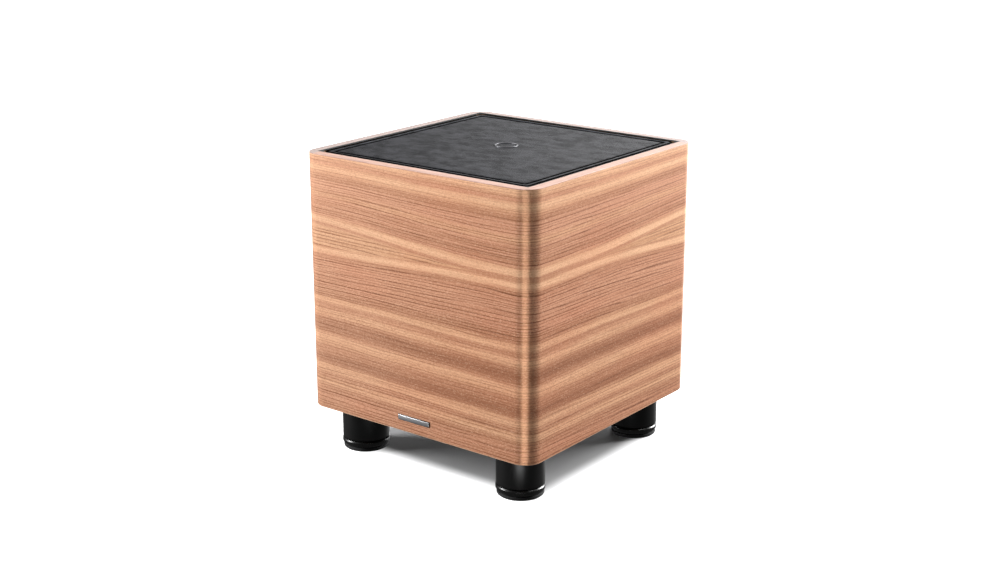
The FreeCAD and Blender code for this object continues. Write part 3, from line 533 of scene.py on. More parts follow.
def square_ring(h, r, n_arc=12, n_flat=10):
    """Points round a rounded square of half width h, from the middle of its front right corner towards +Y."""
    pts = []
    c = h - r
    corners = [(c, -c, -90), (c, c, 0), (-c, c, 90), (-c, -c, 180)]
    order = []
    for k in range(4):
        cx, cy, a0 = corners[k]
        arc = [(cx + r * math.cos(math.radians(a0 + 90.0 * i / n_arc)), cy + r * math.sin(math.radians(a0 + 90.0 * i / n_arc))) for i in range(n_arc + 1)]
        order.append(arc)
    seq = []
    for k in range(4):
        arc = order[k]
        nxt = order[(k + 1) % 4]
        seq += arc
        a, b = arc[-1], nxt[0]
        for i in range(1, n_flat):
            t = i / n_flat
            seq.append((a[0] + (b[0] - a[0]) * t, a[1] + (b[1] - a[1]) * t))
    half_arc = n_arc // 2
    return seq[half_arc:] + seq[:half_arc]


def nested_rings(name, rows, mat, closed_profile, cap=False, **kw):
    """Rings of a rounded square, each (half width, corner radius, height) in mm, skinned together."""
    bm = bmesh.new()
    rings = []
    for h, r, z in rows:
        rings.append([bm.verts.new((x * MM, y * MM, z * MM)) for x, y in square_ring(h, r)])
    n = len(rings[0])
    for i in range(len(rings) if closed_profile else len(rings) - 1):
        a, b = rings[i], rings[(i + 1) % len(rings)]
        for j in range(n):
            j2 = (j + 1) % n
            bm.faces.new((a[j], a[j2], b[j2], b[j]))
    if cap:
        bm.faces.new(rings[-1])
    return new_object(name, bm, mat, **kw)


# ------------------------------------------------------------------ cabinet skin
veneer = veneer_material()


def build_veneer():
    h, r = HALF, CORNER
    c = h - r
    arc_n = 20
    stations = []   # x, y, nx, ny, run
    arc = r * math.pi / 2

    def corner(cx, cy, a0, run0, lo=0, hi=arc_n):
        for i in range(lo, hi + 1):
            t = math.radians(a0 + 90.0 * i / arc_n)
            stations.append((cx + r * math.cos(t), cy + r * math.sin(t), math.cos(t), math.sin(t), run0 + arc * i / arc_n))

    def flat(x0, y0, x1, y1, nx, ny, run0, marks):
        for t in marks:
            stations.append((x0 + (x1 - x0) * t, y0 + (y1 - y0) * t, nx, ny, run0 + 2 * c * t))

    even = [i / 12 for i in range(1, 12)]
    wx = 0.1183
    cut0, cut1 = (c - wx) / (2 * c), (c + wx) / (2 * c)
    rear_marks = [0.25 * cut0, 0.6 * cut0, cut0] + [cut0 + (cut1 - cut0) * i / 8 for i in range(1, 8)] + [cut1, cut1 + 0.4 * (1 - cut1), cut1 + 0.75 * (1 - cut1)]
    run = 0.0
    corner(c, -c, -90, -arc / 2, arc_n // 2, arc_n)
    run = arc / 2
    flat(h, -c, h, c, 1, 0, run, even)
    run += 2 * c
    corner(c, c, 0, run)
    run += arc
    rear_first = len(stations)
    flat(c, h, -c, h, 0, 1, run, rear_marks)
    run += 2 * c
    corner(-c, c, 90, run)
    n_plus = len(stations)
    half_total = 4 * c + arc * 2   # half of the whole way round
    # the far side is counted back from the front right corner, so that the join is at the rear left corner
    run = run + arc
    flat(-h, c, -h, -c, -1, 0, run, even)
    run += 2 * c
    corner(-c, -c, 180, run)
    run += arc
    flat(-c, -h, c, -h, 0, -1, run, even)
    run += 2 * c
    corner(c, -c, -90, run, 0, arc_n // 2)
    total = run + arc / 2
    seam = rear_first + len(rear_marks) + arc_n // 2   # middle of the rear left corner
    ring = stations[:-1]
    order = ring[seam:] + ring[: seam + 1]
    runs = [s[4] - total for s in ring[seam:]] + [s[4] for s in ring[: seam + 1]]
    rows = [(60.0, 0.75), (60.12, 0.4), (60.35, 0.15), (60.75, 0.02), (61.2, 0.0), (84, 0), (112, 0), (142.7, 0)]
    rows += [(142.7 + (367.3 - 142.7) * i / 8, 0) for i in range(1, 8)] + [(367.3, 0), (378, 0), (389.2, 0)]
    bm = bmesh.new()
    uv = bm.loops.layers.uv.new("grain")
    grid, inner = [], []
    for (x, y, nx, ny, _), rn in zip(order, runs):
        grid.append([bm.verts.new((x - nx * e * MM, y - ny * e * MM, z * MM)) for z, e in rows])
        inner.append([bm.verts.new((x - nx * 0.8 * MM, y - ny * 0.8 * MM, z * MM)) for z, e in rows])

    def face(vs, coords):
        f = bm.faces.new(vs)
        for loop, (a, b) in zip(f.loops, coords):
            loop[uv].uv = (a + 0.7, b)
        return f

    def hole(i, j):
        ax, ay = order[i][0], order[i][1]
        bx = order[i + 1][0]
        zc = (rows[j][0] + rows[j + 1][0]) / 2
        return ay > h - 1e-5 and order[i + 1][1] > h - 1e-5 and abs((ax + bx) / 2) < wx and 142.7 < zc < 367.3

    m = len(rows)
    for i in range(len(order) - 1):
        for j in range(m - 1):
            if hole(i, j):
                continue
            za, zb = rows[j][0] * MM, rows[j + 1][0] * MM
            ra_, rb_ = runs[i], runs[i + 1]
            face((grid[i][j], grid[i + 1][j], grid[i + 1][j + 1], grid[i][j + 1]), ((ra_, za), (rb_, za), (rb_, zb), (ra_, zb)))
            face((inner[i][j], inner[i][j + 1], inner[i + 1][j + 1], inner[i + 1][j]), ((ra_, za), (ra_, zb), (rb_, zb), (rb_, za)))
            for jj, edge in ((j, j == 0), (j + 1, j == m - 2)):
                below = jj == j
                other = j - 1 if below else j + 1
                open_side = edge or (0 <= other < m - 1 and hole(i, other))
                if open_side:
                    z = rows[jj][0] * MM
                    vs = (grid[i][jj], inner[i][jj], inner[i + 1][jj], grid[i + 1][jj])
                    face(vs if below else vs[::-1], ((ra_, z), (ra_, z), (rb_, z), (rb_, z)))
            for ii, nb in ((i, i - 1), (i + 1, i + 1)):
                if 0 <= nb < len(order) - 1 and hole(nb, j):
                    vs = (grid[ii][j], grid[ii][j + 1], inner[ii][j + 1], inner[ii][j])
                    rn = runs[ii]
                    face(vs, ((rn, za), (rn, zb), (rn, zb), (rn, za)))
    for i in (0, len(order) - 1):
        for j in range(m - 1):
            vs = (grid[i][j], grid[i][j + 1], inner[i][j + 1], inner[i][j])
            face(vs, ((runs[i], rows[j][0] * MM),) * 4)
    bmesh.ops.recalc_face_normals(bm, faces=bm.faces)
    me = bpy.data.meshes.new("veneer_skin")
    bm.to_mesh(me)
    bm.free()
    return wrap("veneer_skin", me, veneer, "cabinet", 40.0, ("veneer_wrap",))


build_veneer()

rim_mat = rim_material()
inner_half = 158.2
nested_rings(
    "top_rim",
    [(175.0, 22.0, 389.2), (175.0, 22.0, 389.45), (174.85, 21.85, 389.75), (174.4, 21.4, 389.95), (173.8, 20.8, 390.0),
     (168, 16, 390.0), (162.2, 11.2, 390.0), (161.5, 10.6, 389.93), (161.0, 10.1, 389.7), (159.0, 8.8, 389.4), (158.2, 8.0, 389.0), (158.2, 8.0, 384.6),
     (158.6, 8.4, 384.2), (158.9, 8.7, 389.2)],
    rim_mat, True, replaces=("rim_veneer",), slot="rim_wood", smooth=30.0,
)

leather = leather_material()
rows = [
    (154.5, 8.8, 384.05), (154.6, 8.9, 385.5), (154.65, 8.95, 387.2), (154.5, 8.8, 388.2), (154.0, 8.3, 388.85), (153.2, 7.6, 389.12),
    (151.5, 7.0, 389.2), (149.8, 6.4, 389.12), (148.7, 6.0, 388.85), (148.0, 5.8, 388.35), (147.4, 5.6, 387.9), (146.4, 5.5, 387.8),
    (145.4, 5.4, 388.0), (144.5, 5.2, 388.5), (143.3, 5.0, 388.95), (141.5, 5.0, 389.08), (138, 5, 389.1), (120, 5, 389.1), (95, 5, 389.12),
    (70, 5, 389.14), (45, 4, 389.15), (20, 3, 389.15),
]
cover = nested_rings("leather_top", rows, leather, False, cap=True, replaces=("leather_cover",), slot="grey_leather", smooth=60.0)
sol = cover.modifiers.new("thickness", "SOLIDIFY")
sol.thickness, sol.offset = 0.0009, -1.0

# ------------------------------------------------------------------ feet
black_satin = painted("foot_satin", (8, 8, 8), rough=0.34, grain=900, bump=0.04, spec=0.3)
black_gloss = painted("foot_gloss", (7, 7, 7), rough=0.28, coat=0.1, grain=500, bump=0.01, spec=0.4)
foot_rub = rubber("foot_rubber")
for tag, sx, sy in (("fl", -1, -1), ("fr", 1, -1), ("rl", -1, 1), ("rr", 1, 1)):
    c = (0.125 * sx, 0.125 * sy, 0)
    lathe("column_" + tag, [(5.05, 14.5, 0.3), (29.0, 14.5, 0.4), (30, 15.3, 0.6), (30, 62, 0.2), (4, 62, 0), (4, 50, 0), (0, 50, 0), (0, 47, 0), (5.05, 47, 0)],
          black_satin, c, 128, replaces=("foot_column_" + tag,), slot="satin_black_metal")
    lathe("ring_" + tag, [(0, 8.5, 0), (6.05, 8.5, 0), (6.05, 5.04, 0), (28.2, 5.04, 0.4), (30.5, 8.2, 1.6), (30.5, 12.0, 1.0), (29.2, 13.5, 0.5), (25, 13.5, 0), (25, 14.5, 0), (5, 14.5, 0), (5, 44.4, 0.4), (0, 45, 0)],
          black_gloss, c, 128, body="ring_" + tag, replaces=("foot_adjuster_" + tag,), slot="gloss_black_metal")
    lathe("pad_" + tag, [(0, 0.0, 0), (20, 0.0, 0.2), (20.6, 0.7, 0.2), (21.6, 0.7, 0.2), (22.2, 0.0, 0.2), (27.4, 0.0, 1.0), (29.0, 1.4, 0.8), (29.0, 5, 0.5), (6, 5, 0), (6, 8.3, 0), (0, 8.3, 0)],
          foot_rub, c, 128, body="pad_" + tag, replaces=("foot_pad_" + tag,), slot="foot_rubber")

# ------------------------------------------------------------------ finishes of the other pieces
def fibreboard(name="fibreboard", black=False):
    k = Mat(name)
    co = k.co()
    fibre = k.noise(k.scale(co, 900, 260, 900), 1.0, 4.0, 0.75)
    clump = k.noise(k.scale(co, 70, 70, 70), 1.0, 3.0, 0.6)
    if black:
        col = k.ramp(fibre, [(0.3, lin((15, 15, 16))), (0.7, lin((27, 27, 28)))])
        rough = k.math("MULTIPLY_ADD", fibre, 0.2, 0.5)
    else:
        col = k.ramp(fibre, [(0.28, lin((128, 98, 68))), (0.5, lin((156, 122, 86))), (0.75, lin((182, 148, 108)))])
        col = k.mix(k.step(clump, 0.4, 0.7, 0.0, 0.3), col, lin((134, 100, 70)))
        x, y, z = k.split(co)
        col = k.mix(k.step(z, 0.3886, 0.3891, 0.0, 1.0), col, lin((9, 9, 9)))      # painted shade: the seat of the inlay, in the gap round the leather, is painted black
        rough = k.math("MULTIPLY_ADD", fibre, 0.15, 0.72)
    k.set(Base_Color=col, Roughness=rough, Specular_IOR_Level=0.3, Normal=k.bump(fibre, 0.25, 0.0004))
    return k.m


def plywood():
    k = Mat("plywood")
    co = k.co()
    x, y, z = k.split(co)
    grain = k.noise(k.join(k.mul(x, 9.0), k.mul(y, 260.0), k.mul(z, 90.0)), 1.0, 4.0, 0.65)
    ply = k.step(k.math("SINE", k.mul(z, 6283.0 / 1.3)), -0.2, 0.2)
    col = k.ramp(grain, [(0.3, lin((176, 140, 98))), (0.7, lin((212, 182, 138)))])
    col = k.mix(k.mul(ply, 0.28), col, lin((140, 102, 66)))
    k.set(Base_Color=col, Roughness=0.7, Specular_IOR_Level=0.3, Normal=k.bump(grain, 0.2, 0.0003))
    return k.m


def pressed_paper():
    k = Mat("paper_cone")
    co = k.co()
    x, y, z = k.split(co)
    fibre = k.noise(k.scale(co, 1400, 1400, 1400), 1.0, 4.0, 0.8)
    pulp = k.noise(k.scale(co, 120, 120, 120), 1.0, 4.0, 0.7)
    radius = k.math("SQRT", k.add(k.mul(x, x), k.mul(y, y)))
    ripple = k.math("SINE", k.mul(radius, 6283.0 / 3.2))
    col = k.ramp(pulp, [(0.3, lin((26, 26, 28))), (0.7, lin((42, 42, 45)))])
    col = k.mix(k.step(fibre, 0.58, 0.72, 0.0, 0.35), col, lin((78, 76, 74)))
    n1 = k.bump(fibre, 0.35, 0.0003)
    k.set(Base_Color=col, Roughness=k.math("MULTIPLY_ADD", fibre, 0.2, 0.62), Specular_IOR_Level=0.35, Normal=k.bump(ripple, 0.12, 0.0004, n1))
    return k.m


def pressed_cloth():
    k = Mat("spider_cloth")
    co = k.co()
    x, y, z = k.split(co)
    warp = k.math("SINE", k.mul(x, 6283.0 / 0.9))
    weft = k.math("SINE", k.mul(y, 6283.0 / 0.9))
    weave = k.mul(warp, weft)
    stain = k.noise(k.scale(co, 80, 80, 80), 1.0, 3.0, 0.6)
    col = k.ramp(stain, [(0.3, lin((170, 132, 72))), (0.7, lin((206, 170, 104)))])
    col = k.mix(k.step(weave, -0.4, 0.6, 0.0, 0.35), col, lin((126, 92, 48)))
    k.set(Base_Color=col, Roughness=0.75, Sheen_Weight=0.2, Normal=k.bump(weave, 0.4, 0.0002))
    return k.m


def winding(name, col, pitch, axis=2, rough=0.3, metal=0.9):
    k = Mat(name)
    co = k.co()
    h = k.split(co)[axis]
    turns = k.math("SINE", k.mul(h, 6283.0 / pitch))
    tone = k.noise(k.scale(co, 60, 60, 400), 1.0, 3.0, 0.6)
    base = lin(col)
    dark = tuple(c * 0.55 for c in base[:3]) + (1.0,)
    # painted shade: the valleys between the turns are painted darker
    c = k.mix(k.step(turns, -0.9, -0.2, 1.0, 0.0), base, dark)
    c = k.mix(k.step(tone, 0.35, 0.7, 0.0, 0.3), c, dark)
    k.set(Base_Color=c, Metallic=metal, Roughness=rough, Coat_Weight=0.3, Normal=k.bump(turns, 0.5, pitch * 0.0004))
    return k.m


def ferrite():
    k = Mat("ferrite")
    co = k.co()
    n = k.noise(k.scale(co, 700, 700, 700), 1.0, 4.0, 0.75)
    pits = k.cells(co, 420.0, "F1")["Distance"]
    col = k.ramp(n, [(0.3, lin((38, 38, 41))), (0.7, lin((66, 66, 70)))])
    k.set(Base_Color=k.mix(k.step(pits, 0.10, 0.0, 0.0, 0.8), col, lin((18, 18, 19))), Roughness=k.math("MULTIPLY_ADD", n, 0.25, 0.42), Normal=k.bump(n, 0.2, 0.0003))
    return k.m


def circuit():
    k = Mat("circuit_board")
    co = k.co()
    cell = k.cells(k.scale(co, 1, 1, 1), 260.0, "DISTANCE_TO_EDGE", random=0.75)["Distance"]
    pads = k.cells(co, 190.0, "F1", random=0.35)["Distance"]
    tracks = k.step(cell, 0.06, 0.09, 1.0, 0.0)
    tone = k.noise(k.scale(co, 50, 50, 50), 1.0, 2.0, 0.5)
    col = k.ramp(tone, [(0.3, lin((14, 66, 34))), (0.7, lin((20, 82, 44)))])
    col = k.mix(k.mul(tracks, 0.6), col, lin((44, 128, 72)))
    dot = k.step(pads, 0.16, 0.13, 0.0, 1.0)
    col = k.mix(dot, col, lin((186, 188, 186)))
    k.set(Base_Color=col, Metallic=k.mul(dot, 0.9), Roughness=0.32, Coat_Weight=0.4, Normal=k.bump(tracks, 0.3, 0.0002))
    return k.m


def fluff(name="wadding"):
    k = Mat(name)
    co = k.co()
    curl = k.noise(k.scale(co, 320, 320, 320), 1.0, 6.0, 0.75, 1.2)
    tuft = k.noise(k.scale(co, 45, 45, 45), 1.0, 4.0, 0.6)
    col = k.ramp(curl, [(0.3, lin((196, 196, 192))), (0.6, lin((234, 234, 230)))])
    col = k.mix(k.step(tuft, 0.4, 0.7, 0.0, 0.25), col, lin((206, 204, 196)))
    k.set(Base_Color=col, Roughness=0.95, Sheen_Weight=0.5, Specular_IOR_Level=0.1, Subsurface_Weight=0.15, Subsurface_Radius=(0.01, 0.01, 0.01),
          Normal=k.bump(k.add(curl, tuft), 0.7, 0.002))
    return k.m


def foam():
    k = Mat("foam_gasket")
    co = k.co()
    cell = k.cells(co, 1500.0, "F1")["Distance"]
    tone = k.noise(k.scale(co, 90, 90, 90), 1.0, 2.0, 0.5)
    col = k.ramp(tone, [(0.3, lin((22, 22, 22))), (0.7, lin((34, 34, 34)))])
    k.set(Base_Color=col, Roughness=0.85, Specular_IOR_Level=0.25, Normal=k.bump(cell, 0.5, 0.0003))
    return k.m


def lens(name, col, glow):
    k = Mat(name)
    n = k.noise(k.scale(k.co(), 400, 400, 400), 1.0, 2.0, 0.5)
    k.set(Base_Color=lin(col), Roughness=k.math("MULTIPLY_ADD", n, 0.08, 0.12), Transmission_Weight=0.35, IOR=1.5, Coat_Weight=0.6,
          Emission_Color=lin(col), Emission_Strength=glow)
    return k.m


def moulded(name, col=(22, 22, 23), rough=0.5, grain=1100.0, bump=0.16, coat=0.0):
    """Spark eroded plastic: a fine pitted surface with softly varied sheen."""
    k = Mat(name)
    co = k.co()
    pit = k.cells(co, grain, "SMOOTH_F1")["Distance"]
    n = k.noise(k.scale(co, 160, 160, 160), 1.0, 3.0, 0.6)
    base = lin(col)
    c = k.ramp(n, [(0.3, tuple(v * 0.82 for v in base[:3]) + (1,)), (0.7, tuple(v * 1.2 for v in base[:3]) + (1,))])
    k.set(Base_Color=c, Roughness=k.math("MULTIPLY_ADD", n, 0.14, rough - 0.07), Coat_Weight=coat, Specular_IOR_Level=0.45, Normal=k.bump(pit, bump, 0.0002))
    return k.m


def powder(name, col=(17, 17, 18), rough=0.5):
    """Powder coat: a fine orange peel over a dark base."""
    k = Mat(name)
    co = k.co()
    peel = k.noise(k.scale(co, 620, 620, 620), 1.0, 2.0, 0.5)
    grit = k.cells(co, 1700.0, "F1")["Distance"]
    tone = k.noise(k.scale(co, 24, 24, 24), 1.0, 3.0, 0.5)
    base = lin(col)
    c = k.ramp(tone, [(0.3, tuple(v * 0.85 for v in base[:3]) + (1,)), (0.7, tuple(v * 1.2 for v in base[:3]) + (1,))])
    n1 = k.bump(peel, 0.30, 0.0004)
    k.set(Base_Color=c, Roughness=k.math("MULTIPLY_ADD", peel, 0.16, rough - 0.08), Specular_IOR_Level=0.4, Normal=k.bump(grit, 0.12, 0.0002, n1))
    return k.m


def sleeve():
    k = Mat("capacitor_sleeve")
    co = k.co()
    y = k.split(co)[1]
    stripe = k.step(k.math("SINE", k.mul(k.split(co)[0], 6283.0 / 26.0)), 0.93, 0.96)
    n = k.noise(k.scale(co, 140, 140, 140), 1.0, 3.0, 0.5)
    col = k.ramp(n, [(0.3, lin((18, 22, 40))), (0.7, lin((26, 31, 54)))])
    k.set(Base_Color=k.mix(stripe, col, lin((150, 152, 156))), Roughness=0.28, Coat_Weight=0.5, Normal=k.bump(n, 0.08, 0.0004))
    return k.m


screw_black = brushed("black_screw_steel", (44, 44, 45), 0.38, (600, 600, 600), 0.9, 0.08)
metal_ring = brushed("emblem_metal", (108, 108, 111), 0.46, (260, 260, 260), 1.0, 0.03)
badge_metal = brushed("satin_badge_metal", (176, 176, 178), 0.36, (14, 900, 1600), 1.0, 0.06)
black_plate = moulded("badge_backing", (13, 13, 13), 0.45)
rubber_roll = rubber("surround_rubber", (23, 23, 24), 0.46)
knob_black = moulded("knob_plastic", (20, 20, 21), 0.42, 1400.0, 0.10)
print_white = painted("panel_print", (206, 206, 204), rough=0.6, grain=900, bump=0.05, spec=0.3, vary=0.05)
paper = pressed_paper()
cloth = pressed_cloth()
finish = {
    "fibreboard": fibreboard(), "plywood": plywood(), "wadding": fluff(), "zinc_steel": brushed("zinc_steel", (186, 186, 180), 0.34, (500, 500, 500), 1.0, 0.06),
    "black_screw_steel": screw_black, "cast_basket": powder("cast_basket", (20, 20, 21), 0.55), "foam_gasket": foam(),
    "motor_steel": brushed("motor_steel", (150, 150, 152), 0.36, (700, 700, 90), 1.0, 0.08), "ferrite": ferrite(), "paper_cone": paper,
    "former_sheet": brushed("former_sheet", (196, 192, 182), 0.3, (90, 90, 1200), 1.0, 0.05), "copper_wire": winding("copper_wire", (204, 122, 66), 0.55),
    "surround_rubber": rubber_roll, "spider_cloth": cloth, "black_plastic": moulded("black_plastic"), "black_aluminium": powder("black_aluminium"),
    "plated_sheet": brushed("plated_sheet", (178, 178, 176), 0.4, (40, 600, 600), 1.0, 0.05), "circuit_board": circuit(),
    "fin_aluminium": brushed("fin_aluminium", (62, 62, 64), 0.42, (700, 700, 24), 0.9, 0.1), "transformer_wrap": winding("transformer_wrap", (196, 164, 62), 4.0, 1, 0.35, 0.0),
    "capacitor_sleeve": sleeve(), "pin_brass": brushed("pin_brass", (202, 196, 170), 0.28, (600, 60, 600), 1.0, 0.05),
    "switch_plastic": moulded("switch_plastic", (17, 17, 18), 0.3, 1500.0, 0.05, 0.2), "jack_plating": brushed("jack_plating", (214, 180, 108), 0.26, (500, 80, 500), 1.0, 0.05),
    "knob_plastic": knob_black, "led_lens": lens("led_lens", (70, 130, 255), 0.9), "lead_insulation": moulded("lead_insulation", (128, 20, 18), 0.42, 900.0, 0.06),
    "polished_metal": metal_ring, "satin_badge_metal": badge_metal, "satin_black_metal": black_satin, "gloss_black_metal": black_gloss,
    "foot_rubber": foot_rub, "grey_leather": leather, "rim_wood": rim_mat, "walnut_veneer": veneer,
}
for part in frame["record"]["subparts"]:
    obj = frame["nodes"][part["node"]]
    look_of = finish[part["material_slot"]]
    if part["node"] == "bottom_baffle":
        look_of = fibreboard("baffle_black", True)
    if not obj.material_slots:
        obj.data.materials.append(look_of)
    for ms in obj.material_slots:
        ms.material = look_of


# ------------------------------------------------------------------ small shapes
def join_into(bm, build):
    part = bmesh.new()
    build(part)
    me = bpy.data.meshes.new("part")
    part.to_mesh(me)
    part.free()
    bm.from_mesh(me)
    bpy.data.meshes.remove(me)


def block(bm, lo, hi, radius, seg=3, index=0):
    """A box in mm with rounded edges."""
    def build(b):
        bmesh.ops.create_cube(b, size=1.0)
        for v in b.verts:
            v.co = Vector([((lo[i] + hi[i]) / 2 + v.co[i] * (hi[i] - lo[i])) * MM for i in range(3)])
        if radius > 0:
            bmesh.ops.bevel(b, geom=list(b.edges), offset=radius * MM, segments=seg, profile=0.5, affect="EDGES", clamp_overlap=True)
        for f in b.faces:
            f.material_index = index
    join_into(bm, build)


def turned(bm, pts, at, axis="z", seg=48, arc=4, closed=False, index=0, wave=None):
    """A turned shape in mm about a point, along +Z, -Z ('-z') or +Y ('y')."""
    prof = rounded_points(pts, arc) if closed else None
    if prof is None:
        mid = rounded_points([(pts[0][0], pts[0][1], 0)] + list(pts[1:-1]) + [(pts[-1][0], pts[-1][1], 0)], arc)
        prof = mid

    def build(b):
        rings = []
        for p in prof:
            r, h = max(p.x, 0.0), p.y
            if r < 1e-5:
                rings.append([b.verts.new((0, 0, h * MM))])
                continue
            ring = []
            for i in range(seg):
                t = 2 * math.pi * i / seg
                rr = r + (wave(t, r, h) if wave else 0.0)
                ring.append(b.verts.new((rr * MM * math.cos(t), rr * MM * math.sin(t), h * MM)))
            rings.append(ring)
        n = len(rings) if closed else len(rings) - 1
        for i in range(n):
            a, c = rings[i], rings[(i + 1) % len(rings)]
            for j in range(seg):
                j2 = (j + 1) % seg
                if len(a) == 1 and len(c) == 1:
                    continue
                if len(a) == 1:
                    b.faces.new((a[0], c[j], c[j2]))
                elif len(c) == 1:
                    b.faces.new((a[j], a[j2], c[0]))
                else:
                    b.faces.new((a[j], a[j2], c[j2], c[j]))
        for v in b.verts:
            x, y, z = v.co
            if axis == "y":
                v.co = Vector((x, z, -y))
            elif axis == "-z":
                v.co = Vector((x, -y, -z))
            v.co += Vector(at) * MM
        bmesh.ops.recalc_face_normals(b, faces=b.faces)
        for f in b.faces:
            f.material_index = index
    join_into(bm, build)


def cross_screw(bm, at, axis, head_r, rim, crown, recess, depth, shank):
    """A screw with a cross recess. Heights are above 'at' towards the face; the shank is (radius, length) or none."""
    def build(b):
        seg = 40
        w, l = recess * 0.28, recess
        cross = [(w, w), (w, l), (-w, l), (-w, w), (-l, w), (-l, -w), (-w, -w), (-w, -l), (w, -l), (w, -w), (l, -w), (l, w)]
        prof = [(head_r - 0.15, 0.0), (head_r, 0.15), (head_r, rim), (head_r * 0.93, rim + (crown - rim) * 0.55), (head_r * 0.78, crown)]
        rings = [[b.verts.new((r * math.cos(2 * math.pi * i / seg), r * math.sin(2 * math.pi * i / seg), h)) for i in range(seg)] for r, h in prof]
        for a, c in zip(rings, rings[1:]):
            for j in range(seg):
                j2 = (j + 1) % seg
                b.faces.new((a[j], a[j2], c[j2], c[j]))
        top = [b.verts.new((x, y, crown)) for x, y in cross]
        low = [b.verts.new((x * 0.72, y * 0.72, crown - depth)) for x, y in cross]
        edges = [b.edges.get((rings[-1][j], rings[-1][(j + 1) % seg])) for j in range(seg)]
        n = len(cross)
        for j in range(n):
            edges.append(b.edges.new((top[j], top[(j + 1) % n])))
        bmesh.ops.triangle_fill(b, use_beauty=True, use_dissolve=False, edges=edges)
        for j in range(n):
            b.faces.new((top[j], top[(j + 1) % n], low[(j + 1) % n], low[j]))
        b.faces.new(low)
        if shank:
            sr, sl = shank
            neck = [b.verts.new((sr * math.cos(2 * math.pi * i / seg), sr * math.sin(2 * math.pi * i / seg), 0.0)) for i in range(seg)]
            end = [b.verts.new((sr * math.cos(2 * math.pi * i / seg), sr * math.sin(2 * math.pi * i / seg), -sl)) for i in range(seg)]
            tip = b.verts.new((0, 0, -sl - sr * 0.8))
            for j in range(seg):
                j2 = (j + 1) % seg
                b.faces.new((rings[0][j], neck[j], neck[j2], rings[0][j2]))
                b.faces.new((neck[j], end[j], end[j2], neck[j2]))
                b.faces.new((end[j], tip, end[j2]))
        else:
            b.faces.new(rings[0])
        for v in b.verts:
            x, y, z = v.co * MM
            v.co = Vector((x, z, -y)) if axis == "y" else Vector((x, -y, -z)) if axis == "-z" else Vector((x, y, z))
            v.co += Vector(at) * MM
        bmesh.ops.recalc_face_normals(b, faces=b.faces)
    join_into(bm, build)


def piece(name, bm, mats, body="cabinet", smooth=35.0, replaces=()):
    me = bpy.data.meshes.new(name)
    bm.to_mesh(me)
    bm.free()
    return wrap(name, me, mats, body, smooth, replaces)


# ------------------------------------------------------------------ emblem and badge
bm = bmesh.new()
turned(bm, [(13.1, 389.2, 0), (15.0, 389.2, 0), (15.0, 389.85, 0.35), (14.55, 390.0, 0.3), (13.55, 390.0, 0.3), (13.1, 389.85, 0.35)], (0, 10, 0), "z", 128, 4, closed=True)
piece("emblem", bm, [metal_ring], replaces=("emblem_ring",))
bm = bmesh.new()
block(bm, (-25, -175.7, 74.25), (25, -175.0, 81.75), 0.25, 2, 1)
block(bm, (-24.2, -176.5, 75.05), (24.2, -175.55, 80.95), 0.42, 4, 0)
badge_lo, badge_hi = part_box("front_badge")
badge_z = (badge_lo.z + badge_hi.z) / 2
badge_x = (badge_lo.x + badge_hi.x) / 2
bmesh.ops.translate(bm, verts=bm.verts, vec=(badge_x, 0, badge_z - 0.078))
piece("badge_bar", bm, [badge_metal, black_plate], replaces=("front_badge",))

# ------------------------------------------------------------------ driver, seen from below
seg = 144
bm = bmesh.new()
cone_out = [(88.0, 61.0), (88.0, 62.2), (83.9, 62.2)]
outer, inner = [], []
for i in range(25):      # two shallow pressed rings in the cone's wall
    t = i / 24
    r = 83.9 + (25.6 - 83.9) * t
    z = 62.2 + (99.5 - 62.2) * t
    rib = 0.35 * math.exp(-((r - 71) / 1.6) ** 2) + 0.35 * math.exp(-((r - 58) / 1.6) ** 2)
    outer.append((r, z - rib * 0.2))
    inner.append((r, z - 1.45 - rib * 0.5 + (0.25 if i == 0 else 0)))
prof = [(88.0, 61.0, 0), (88.0, 62.2, 0)] + [(r, z, 0) for r, z in outer] + [(r, z, 0) for r, z in reversed(inner)]
prof[-1] = (84.1, 61.0, 0)
turned(bm, prof, (0, 0, 0), "z", seg, 2, closed=True)
piece("cone_shell", bm, [paper], "cone", 30.0, ("woofer_cone",))
bm = bmesh.new()
cap_r, cap_low, cap_edge = 38.0, 80.0, 90.0
cap_R = (cap_r ** 2 + (cap_edge - cap_low) ** 2) / (2 * (cap_edge - cap_low))
dome = []
for i in range(15):
    r = 36.9 * i / 14
    dome.append((r, cap_low + cap_R - math.sqrt(cap_R ** 2 - r * r)))
top = [(r, z + 0.8) for r, z in dome]
turned(bm, [(r, z, 0) for r, z in dome] + [(37.9, 89.9, 0)] + [(r, z, 0) for r, z in reversed(top)], (0, 0, 0), "z", seg, 2)
piece("dust_dome", bm, [paper], "cone", 40.0, ("woofer_dust_cap",))


def half_roll():
    low, high = [], []
    for i in range(29):
        t = math.pi + math.pi * i / 28
        low.append((98 + 10.5 * math.cos(t), 60.5 + 10.5 * math.sin(t)))
        high.append((98 + 9.6 * math.cos(t), 60.5 + 9.6 * math.sin(t)))
    out = [(84.0, 61.0), (84.0, 60.05)] + [(86.2, 60.0)] + low + [(109.6, 60.0), (111.0, 60.05), (111.0, 61.0)] + list(reversed(high))
    return [(r, z, 0) for r, z in out]


def radial_blend(obj, r_in, r_out):
    """Inside r_in the piece follows the cone; outside r_out it stays with the basket."""
    obj.parent = None
    if "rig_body" in obj:
        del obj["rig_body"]
    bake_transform(obj, "cabinet", "cone", start=(r_out, 0, 0), end=(r_in, 0, 0))
    for i, v in enumerate(obj.data.vertices):
        r = math.hypot(v.co.x, v.co.y) / MM
        t = min(1.0, max(0.0, (r_out - r) / (r_out - r_in)))
        obj.data.attributes["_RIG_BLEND"].data[i].value = t * t * (3 - 2 * t)


